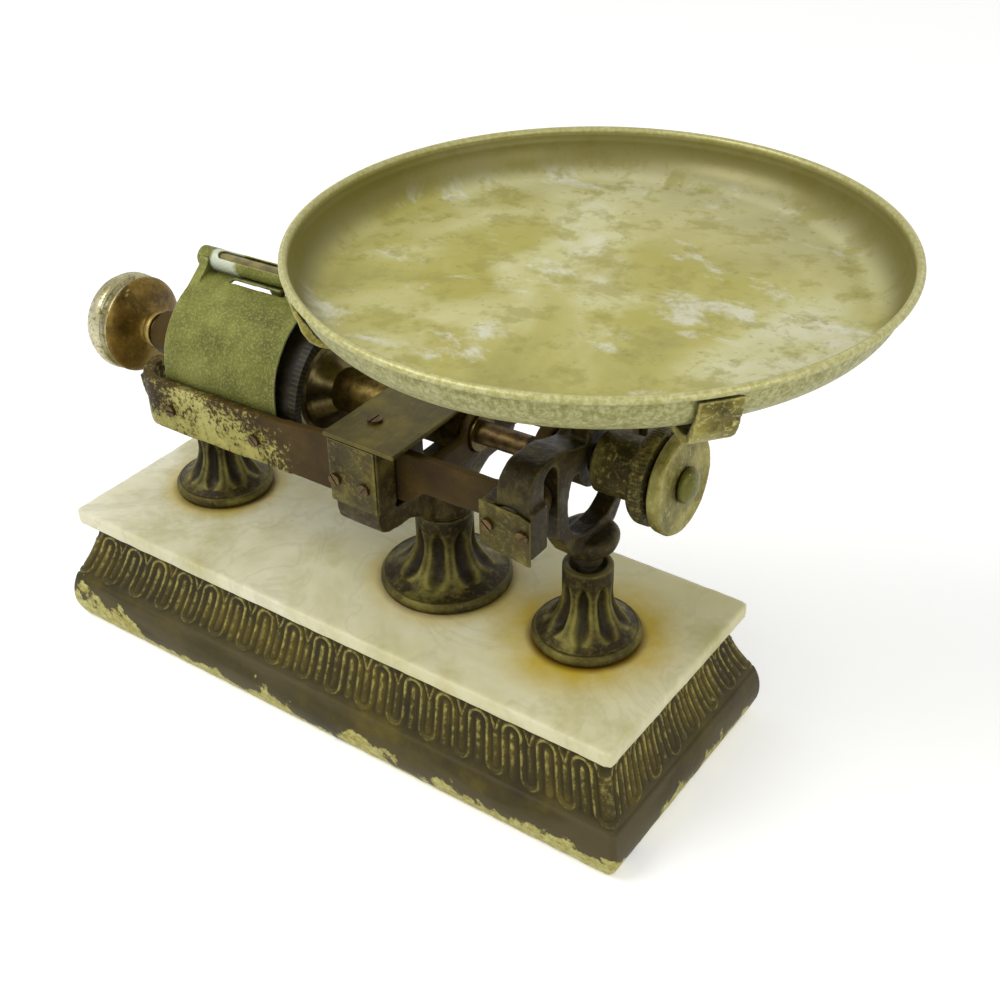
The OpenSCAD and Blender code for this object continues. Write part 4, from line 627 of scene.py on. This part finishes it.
# Painted shade and dirt: the coat darkens where the beam is sheltered within 8 mm.
coat = hollow_shade_and_dirt(t, coat, "#261e0d", 0.008, 0.7, 0.2, 0.85)
add(t, "OutputMaterial", {"Surface": add(t, "BsdfPrincipled", {
    "Base Color": coat, "Metallic": 0.3, "Specular IOR Level": 0.22,
    "Normal": add(t, "Bump", {"Height": specks, "Strength": 0.6, "Distance": 0.0005}),
    "Roughness": add(t, "MapRange", {"Value": plated, "To Min": 0.62, "To Max": 0.42})})})
soften("beam_casting", 0.95, 4, speckled_iron, "cast_beam", seed=41, waste=0.35)


# Screw, drum and its bush: turned brass, with a black enamelled band of divisions round the drum.
# The dished end is still bright under brown lacquer.
turned_brass = aged_steel("browned_turned_brass", "#3a2c0c", "#6f5c22", roughness=0.34)
dished_brass = aged_steel("lacquered_dish_brass", "#3d3319", "#6b5f35", roughness=0.24)
dress(turned_brass, "journal_bush", "screw_barrel", "drum_hub", "thrust_collar", "index_follower")
dress(dished_brass, "drum_bell")

# Enamelled band: near black and half dull, with 100 worn divisions cut round its inner edge and dust in
# clouds of 3 mm.
DIVISIONS, LINE_SHARE = 100, 0.16        # lines round the drum, and the part of a division that a line takes
band_black, t = material("black_enamel_band")
spot = beam_place(t)
parts = add(t, "SeparateXYZ", {0: spot})
turn = add(t, "Math", {0: parts.outputs["Z"], 1: parts.outputs["Y"]}, operation="ARCTAN2")
step = add(t, "Math", {0: add(t, "Math", {0: turn, 1: DIVISIONS / (2 * math.pi)}, operation="MULTIPLY")},
           operation="FRACT")
line = add(t, "Math", {0: step, 1: LINE_SHARE}, operation="LESS_THAN")
inside = add(t, "Math", {0: parts.outputs["X"], 1: -0.0475}, operation="GREATER_THAN")
mark = add(t, "Math", {0: line, 1: inside}, operation="MULTIPLY")
dust = add(t, "TexNoise", {"Vector": spot, "Scale": 300, "Detail": 6})
black = add(t, "ValToRGB", {0: dust}, [(0.35, "#0e0b05"), (0.7, "#2b2510")])
add(t, "OutputMaterial", {"Surface": add(t, "BsdfPrincipled", {
    "Base Color": lay(t, black, "#6b6136", mark, 0, 1, 0.3), "Roughness": 0.45, "Specular IOR Level": 0.25,
    "Normal": add(t, "Bump", {"Height": mark, "Strength": 0.3, "Distance": 0.0002})})})
dress(band_black, "graduated_band", "drum_shell")


# Knob: a flared brass body with a nickel plated cap, turned in one setting with two beads and a low dome.
# The plate is worn through to brass on the flare.
def on_beam(points):
    """Points on the level beam, in mm from the middle of the slab, leaned by the tilt about the fulcrum."""
    c, s = math.cos(REST_TILT), math.sin(REST_TILT)
    x, z = points[..., 0] - FULCRUM_X, points[..., 2] - KNIFE_Z
    return np.stack([FULCRUM_X + FRAME_X + x * c - z * s, points[..., 1], KNIFE_Z + x * s + z * c], -1)


def still(angle, r, z):
    """No squeeze: a plain turned shape."""
    return 0 * r


def turned_on_beam(node, name, outline, finish):
    """An outline of (radius, distance along the beam) turned about the line through the knife."""
    points, faces = ring_mesh(outline, still, 192, True)
    points = np.stack([points[:, 2], points[:, 0], KNIFE_Z + points[:, 1]], -1)
    return finish_piece(mesh_of(node, on_beam(points), faces), node, name, finish)


# Nickel plate: cool and pale in clouds of 14 mm, part mirror and part mist, with brown pits of 2 mm.
nickel, t = material("worn_nickel_plate")
place = add(t, "TexCoord").outputs["Object"]
clouds = add(t, "TexNoise", {"Vector": place, "Scale": 70, "Detail": 7, "Roughness": 0.65})
pits = add(t, "TexNoise", {"Vector": place, "Scale": 520, "Detail": 5, "Roughness": 0.75})
plate = add(t, "ValToRGB", {0: clouds}, [(0.32, "#7f784c"), (0.5, "#aaa37b"), (0.7, "#d2cdb0")])
coat = lay(t, plate, "#5b5128", pits, 0.53, 0.62, 0.8)
# Painted shade and dirt in the hollows of the cap, within 4 mm.
coat = hollow_shade_and_dirt(t, coat, "#3b3315", 0.004, 0.8, 0.4, 0.9)
add(t, "OutputMaterial", {"Surface": add(t, "BsdfPrincipled", {
    "Base Color": coat, "Metallic": 0.85, "Roughness": add(t, "MapRange", {
        "Value": pits, "From Min": 0.35, "From Max": 0.7, "To Min": 0.22, "To Max": 0.5}),
    "Normal": add(t, "Bump", {"Height": pits, "Strength": 0.25, "Distance": 0.0002}, invert=True)})})
knob_x, knob_r, cap_x = -137.0, 23.5, -150.0     # the knob's seat, its radius and the seat of the cap
share = np.linspace(0, 1, 60)
flare = np.c_[7.7 + 15.4 * np.sin(np.pi / 2 * share) ** 1.6, knob_x - 5 - (knob_x - 5 - cap_x) * share]
turned_on_beam("knob_body", "flared_knob_body", np.concatenate([
    [[0, -139.05], [7.55, -139.05], [7.55, knob_x], [8.3, knob_x], [8.7, knob_x - 0.4], [8.7, knob_x - 2.6],
     [8.3, knob_x - 3.1], [7.8, knob_x - 3.4]], flare, [[22.9, cap_x], [0, cap_x]]]),
    old_casting("lacquered_knob_brass", "#3a2a0c", "#7d6427", "#b7a25c", "#6b4410",
                metal=0.5, roughness=0.3, rusty=0.6, specked=0.3))
seat, bead = cap_x - 0.05, 1.6
b = np.linspace(-np.pi / 2, np.pi / 2, 14)
dome = np.linspace(0, np.pi / 2, 40)
turned_on_beam("knob_face", "nickel_knob_cap", np.concatenate([
    [[0, seat], [knob_r - 3.0, seat]],
    np.c_[knob_r - 3.0 + bead * np.cos(b) * 0.9, seat - 1.7 - bead * np.sin(b)],
    [[knob_r - 3.4, seat - 3.5], [knob_r - 3.4, seat - 4.7], [knob_r - 1.2, seat - 5.2],
     [knob_r - 0.35, seat - 5.9], [knob_r, seat - 7.0], [knob_r, seat - 9.4], [knob_r - 0.3, seat - 10.6],
     [knob_r - 1.0, seat - 11.3]],
    np.c_[(knob_r - 1.3) * np.cos(dome), seat - 11.5 - 10.4 * np.sin(dome)]]), nickel)


# Drum cover: a thin bronze casting screwed inside the loop, green-brown in clouds of 24 mm, matted with a
# punch in pebbles of 1 mm and rubbed yellow on its edges. The level is a brass case let into two ears, and
# the plaster of its ends has run out over the left one.
cover_bronze, t = material("green_cast_bronze")
spot = beam_place(t)
place = add(t, "TexCoord").outputs["Object"]
clouds = add(t, "TexNoise", {"Vector": place, "Scale": 42, "Detail": 7, "Roughness": 0.62})
pebble = add(t, "TexNoise", {"Vector": place, "Scale": 900, "Detail": 3, "Roughness": 0.6})
tone = add(t, "ValToRGB", {0: clouds}, [(0.3, "#4b4d19"), (0.5, "#6b6d2d"), (0.7, "#8a8d46")])
parts = add(t, "SeparateXYZ", {0: spot})
# The bronze is darker towards the bottom of the cover, from 34 mm above the knife to 12 mm below it.
coat = lay(t, tone, "#4c4c1e", parts.outputs["Z"], 0.034, -0.012, 0.65)
coat = lay(t, coat, "#a3a45a", pebble, 0.48, 0.7, 0.5)
coat = lay(t, coat, "#b0af78", add(t, "NewGeometry").outputs["Pointiness"], 0.52, 0.58, 0.8)
# Painted shade and dirt where the cover is sheltered within 6 mm.
coat = hollow_shade_and_dirt(t, coat, "#34350f", 0.006, 0.8, 0.3, 0.8)
# Plaster on the level: white within 5.2 mm of its axis, 46.8 mm above the knife, with ragged ends along it.
across = add(t, "VectorMath", {0: spot, 1: (0, 1, 1)}, operation="MULTIPLY")
from_level = add(t, "VectorMath", {0: across, 1: (0, 0, 46.8 * MM)}, operation="DISTANCE").outputs["Value"]
on_tube = add(t, "Math", {0: from_level, 1: 5.2 * MM}, operation="LESS_THAN")
ragged = add(t, "Math", {0: clouds, 1: 0.016, 2: parts.outputs["X"]}, operation="MULTIPLY_ADD")
left = add(t, "MapRange", {"Value": ragged, "From Min": -0.087, "From Max": -0.090})
beside = add(t, "MapRange", {"Value": ragged, "From Min": -0.1055, "From Max": -0.1035})
white = add(t, "Math", {0: add(t, "Math", {0: left, 1: beside}, operation="MULTIPLY"), 1: on_tube},
            operation="MULTIPLY")
coat = lay(t, coat, "#ccd2bd", white, 0, 1, 0.9)
add(t, "OutputMaterial", {"Surface": add(t, "BsdfPrincipled", {
    "Base Color": coat, "Metallic": 0.3, "Roughness": 0.5, "Specular IOR Level": 0.25,
    "Normal": add(t, "Bump", {"Height": pebble, "Strength": 0.9, "Distance": 0.0005})})})
soften("drum_cover", 0.55, 3, cover_bronze, "cast_drum_cover")
soften("level_case", 0.32, 2, cover_bronze, "level_tube")

# Plaster: chalky and quite matt, with a cast grain of 2.5 mm. Spirit glass: clear, but stained brown inside
# in streaks of 6 mm, and shiny.
plaster, t = material("white_gypsum_plaster")
place = add(t, "TexCoord").outputs["Object"]
grain = add(t, "TexNoise", {"Vector": place, "Scale": 400, "Detail": 4})
add(t, "OutputMaterial", {"Surface": add(t, "BsdfPrincipled", {
    "Base Color": add(t, "ValToRGB", {0: grain}, [(0.3, "#c6c9b8"), (0.7, "#e4e6dc")]),
    "Roughness": 0.8, "Normal": add(t, "Bump", {"Height": grain, "Strength": 0.3, "Distance": 0.0002})})})
dress(plaster, "level_plaster")
spirit, t = material("brown_spirit_glass")
place = add(t, "TexCoord").outputs["Object"]
streak = add(t, "TexNoise", {"Vector": place, "Scale": 160, "Detail": 5})
add(t, "OutputMaterial", {"Surface": add(t, "BsdfPrincipled", {
    "Base Color": add(t, "ValToRGB", {0: streak}, [(0.35, "#6b5c22"), (0.6, "#94883f")]),
    "Roughness": 0.1, "IOR": 1.5, "Transmission Weight": 0.25, "Coat Weight": 0.2})})
dress(spirit, "level_glass")


# Balance weights: two turned iron pieces on a stud, the inner one knurled, then a small domed brass nut.
# The faces are pitted and pale where the browning has worn off.
pitted_iron = old_casting("pitted_turned_iron", "#1f1907", "#443c15", "#8b8349", "#4c330e",
                          metal=0.4, roughness=0.42, rusty=0.4, specked=0.9)
disc_iron = old_casting("pale_pitted_disc_iron", "#3c340f", "#7c7539", "#aca565", "#5b4717",
                        metal=0.4, roughness=0.42, rusty=0.4, specked=0.8)
nut_brass = old_casting("green_domed_brass", "#4a4718", "#666529", "#8b8b4e", "#5b4f1a",
                        metal=0.5, roughness=0.34, rusty=0.2, specked=0.4)
soften("balance_weight", 0.42, 1, pitted_iron, "knurled_weight", seed=51, waste=0.12, wave=1.6)
soften("lock_disc", 0.42, 2, disc_iron, "locking_disc", seed=52, waste=0.15, wave=1.8)
soften("domed_nut", 0.3, 2, nut_brass, "domed_brass_nut")


# Pan carrier: a dark iron casting that hangs on the load knives and rises through a ring to the spider.
# The spider's four arms are cast brass and clip round the pan's rounded corner.
carrier_iron = old_casting("dark_carrier_casting", "#191306", "#2c240d", "#5d5324", "#432b0c",
                           metal=0.35, roughness=0.42)
soften("pan_carrier", 0.8, 5, carrier_iron, "cast_carrier", seed=61, waste=0.35)
soften("load_plates", 0.4, 2, plate_iron, "load_cover_plates", seed=62, waste=0.12)
clip_brass = old_casting("pitted_cast_brass", "#423a0d", "#8b823a", "#c5bd78", "#6f5416",
                         metal=0.5, roughness=0.36, rusty=0.35, specked=0.9)
soften("pan_spider", 0.65, 3, clip_brass, "cast_spider", seed=63, waste=0.25, wave=3.0)


# Pan: spun from brass sheet 0.9 mm thick with a rolled rim, once tinned. The floor is a map of olive, ochre
# and grey-white stains, and the wall is pitted all round.
PAN_X = 105.354              # the pan's axis from the middle of the slab


def pan_mesh():
    """Outline: a flat floor, a quarter circle corner of 14.5 mm, a wall leaning out 1.9 mm and a full round
    bead, then the same line 0.9 mm inside, carried round the axis in 320 steps. Use has left the floor with
    lumps 38 mm wide and 0.2 mm high."""
    floor_z, corner, thick, wall, bead_r, rim_z = 227.552, 14.5, 0.9, 112.8, 1.6, 246.552
    arc_r, bead_z = wall - 1.9 - corner, rim_z - bead_r
    a = np.radians(np.linspace(-90, 0, 18))
    outer = np.concatenate([np.c_[np.linspace(0, arc_r - 2, 40), np.full(40, floor_z)],
                            np.c_[arc_r + corner * np.cos(a), floor_z + corner + corner * np.sin(a)]])
    b = np.radians(np.linspace(-35, 205, 26))
    rolled = np.c_[wall + bead_r * np.cos(b), bead_z + bead_r * np.sin(b)]
    inner = np.concatenate([np.c_[arc_r + (corner - thick) * np.cos(a[::-1]),
                                  floor_z + corner + (corner - thick) * np.sin(a[::-1])],
                            np.c_[np.linspace(arc_r - 2, 0, 40), np.full(40, floor_z + thick)]])
    outline = np.concatenate([outer, rolled, inner])
    points, faces = ring_mesh(outline, still, 320, True)
    radius = np.hypot(points[:, 0], points[:, 1])
    waves = lattice(points * [1, 1, 0] + 7, 38, 71) * np.clip((arc_r - radius) / 20, 0, 1)
    points[:, 2] += 0.22 * waves + 0.12
    return points + np.array([PAN_X + FRAME_X, 0, 0]), faces


# Tinned brass: pale and satin where tin is left, stained olive in clouds of 77 mm and ochre in clouds of
# 53 mm round the middle, with grey-white scuffs of 42 mm, freckles of 16 mm, dots of 5 mm and 2 mm grain.
tinned_brass, t = material("worn_tinned_spun_brass")
place = add(t, "TexCoord").outputs["Object"]
axis = ((PAN_X + FRAME_X) * MM, 0, 0)
centred = add(t, "VectorMath", {0: place, 1: axis}, operation="SUBTRACT")
outward = add(t, "VectorMath", {0: centred, 1: (1, 1, 0)}, operation="MULTIPLY")
radius = add(t, "VectorMath", {0: outward}, operation="LENGTH").outputs["Value"]
large = add(t, "TexNoise", {"Vector": place, "Scale": 13, "Detail": 5, "Roughness": 0.5, "Distortion": 0.6})
olive = add(t, "ValToRGB", {0: large},
            [(0.34, "#969041"), (0.45, "#aea757"), (0.55, "#c0bc80"), (0.66, "#d0ceac")])
shift = add(t, "Mapping", {"Vector": place, "Location": (0.31, 0.12, 0.4)})
spots = add(t, "TexNoise", {"Vector": shift, "Scale": 19, "Detail": 6, "Roughness": 0.55, "Distortion": 0.8})
ochre = add(t, "MapRange", {"Value": spots, "From Min": 0.48, "From Max": 0.6, "To Max": 0.85})
stained = (-0.018, -0.012, 0.2275)
away = add(t, "VectorMath", {0: centred, 1: stained}, operation="DISTANCE").outputs["Value"]
middle = add(t, "MapRange", {"Value": away, "From Min": 0.095, "From Max": 0.03, "To Min": 0.15})
ochre = add(t, "Math", {0: ochre, 1: middle}, operation="MULTIPLY")
coat = add(t, "Mix", {0: ochre, 6: olive, 7: tint("#a39a38")}, data_type="RGBA").outputs[2]
# The floor is paler towards the back, from 30 to 100 mm behind the axis.
coat = lay(t, coat, "#d2cfad", add(t, "SeparateXYZ", {0: centred}).outputs["Y"], 0.03, 0.1, 0.6)
streaks = add(t, "Mapping", {"Vector": place, "Location": (0.7, 0.2, 0.1), "Rotation": (0, 0, 0.6),
              "Scale": (1, 1.7, 1)})
scuffs = add(t, "TexNoise", {"Vector": streaks, "Scale": 24, "Detail": 9, "Roughness": 0.66,
             "Distortion": 0.4})
coat = lay(t, coat, "#d6d6c4", scuffs, 0.56, 0.64, 0.65)
freckles = add(t, "TexNoise", {"Vector": shift, "Scale": 62, "Detail": 9, "Roughness": 0.68})
coat = lay(t, coat, "#938c36", freckles, 0.5, 0.6, 0.6)
grain = add(t, "TexNoise", {"Vector": place, "Scale": 520, "Detail": 4, "Roughness": 0.7})
dots = add(t, "TexNoise", {"Vector": place, "Scale": 190, "Detail": 7, "Roughness": 0.75})
coat = lay(t, coat, "#7d7734", dots, 0.58, 0.66, 0.45)
# Inside, the coat darkens to olive brown over the corner and up the wall, from 98 to 109 mm out.
rise = add(t, "MapRange", {"Value": radius, "From Min": 0.098, "From Max": 0.109, "To Max": 0.92},
           interpolation_type="SMOOTHSTEP")
facing = add(t, "VectorMath", {0: add(t, "NewGeometry").outputs["Normal"], 1: outward},
             operation="DOT_PRODUCT").outputs["Value"]
inside = add(t, "Math", {0: facing, 1: 0.002}, operation="LESS_THAN")
coat = add(t, "Mix", {0: add(t, "Math", {0: rise, 1: inside}, operation="MULTIPLY"),
           6: coat, 7: tint("#645d1b")}, data_type="RGBA").outputs[2]
high = add(t, "SeparateXYZ", {0: place}).outputs["Z"]
speckle = add(t, "ValToRGB", {0: grain}, [(0.36, "#aeab7a"), (0.5, "#96945b"), (0.62, "#7f7d42")])
outside = add(t, "Math", {0: facing, 1: 0.03}, operation="GREATER_THAN")
coat = add(t, "Mix", {0: outside, 6: coat, 7: speckle}, data_type="RGBA").outputs[2]
# Painted highlight: the top of the rolled rim is paler, where it catches the light.
worn = add(t, "ValToRGB", {0: grain}, [(0.4, "#c3bf89"), (0.6, "#aca661")])
coat = lay(t, coat, worn, high, 0.2436, 0.2452, 0.7)
add(t, "OutputMaterial", {"Surface": add(t, "BsdfPrincipled", {
    "Base Color": coat, "Metallic": 0.3, "Roughness": add(t, "MapRange", {
        "Value": large, "From Min": 0.3, "From Max": 0.7, "To Min": 0.34, "To Max": 0.55}),
    "Normal": add(t, "Bump", {"Height": dots, "Strength": 0.3, "Distance": 0.0004}, invert=True)})})
points, faces = pan_mesh()
finish_piece(mesh_of("pan", points, faces), "weighing_pan", "spun_pan", tinned_brass)
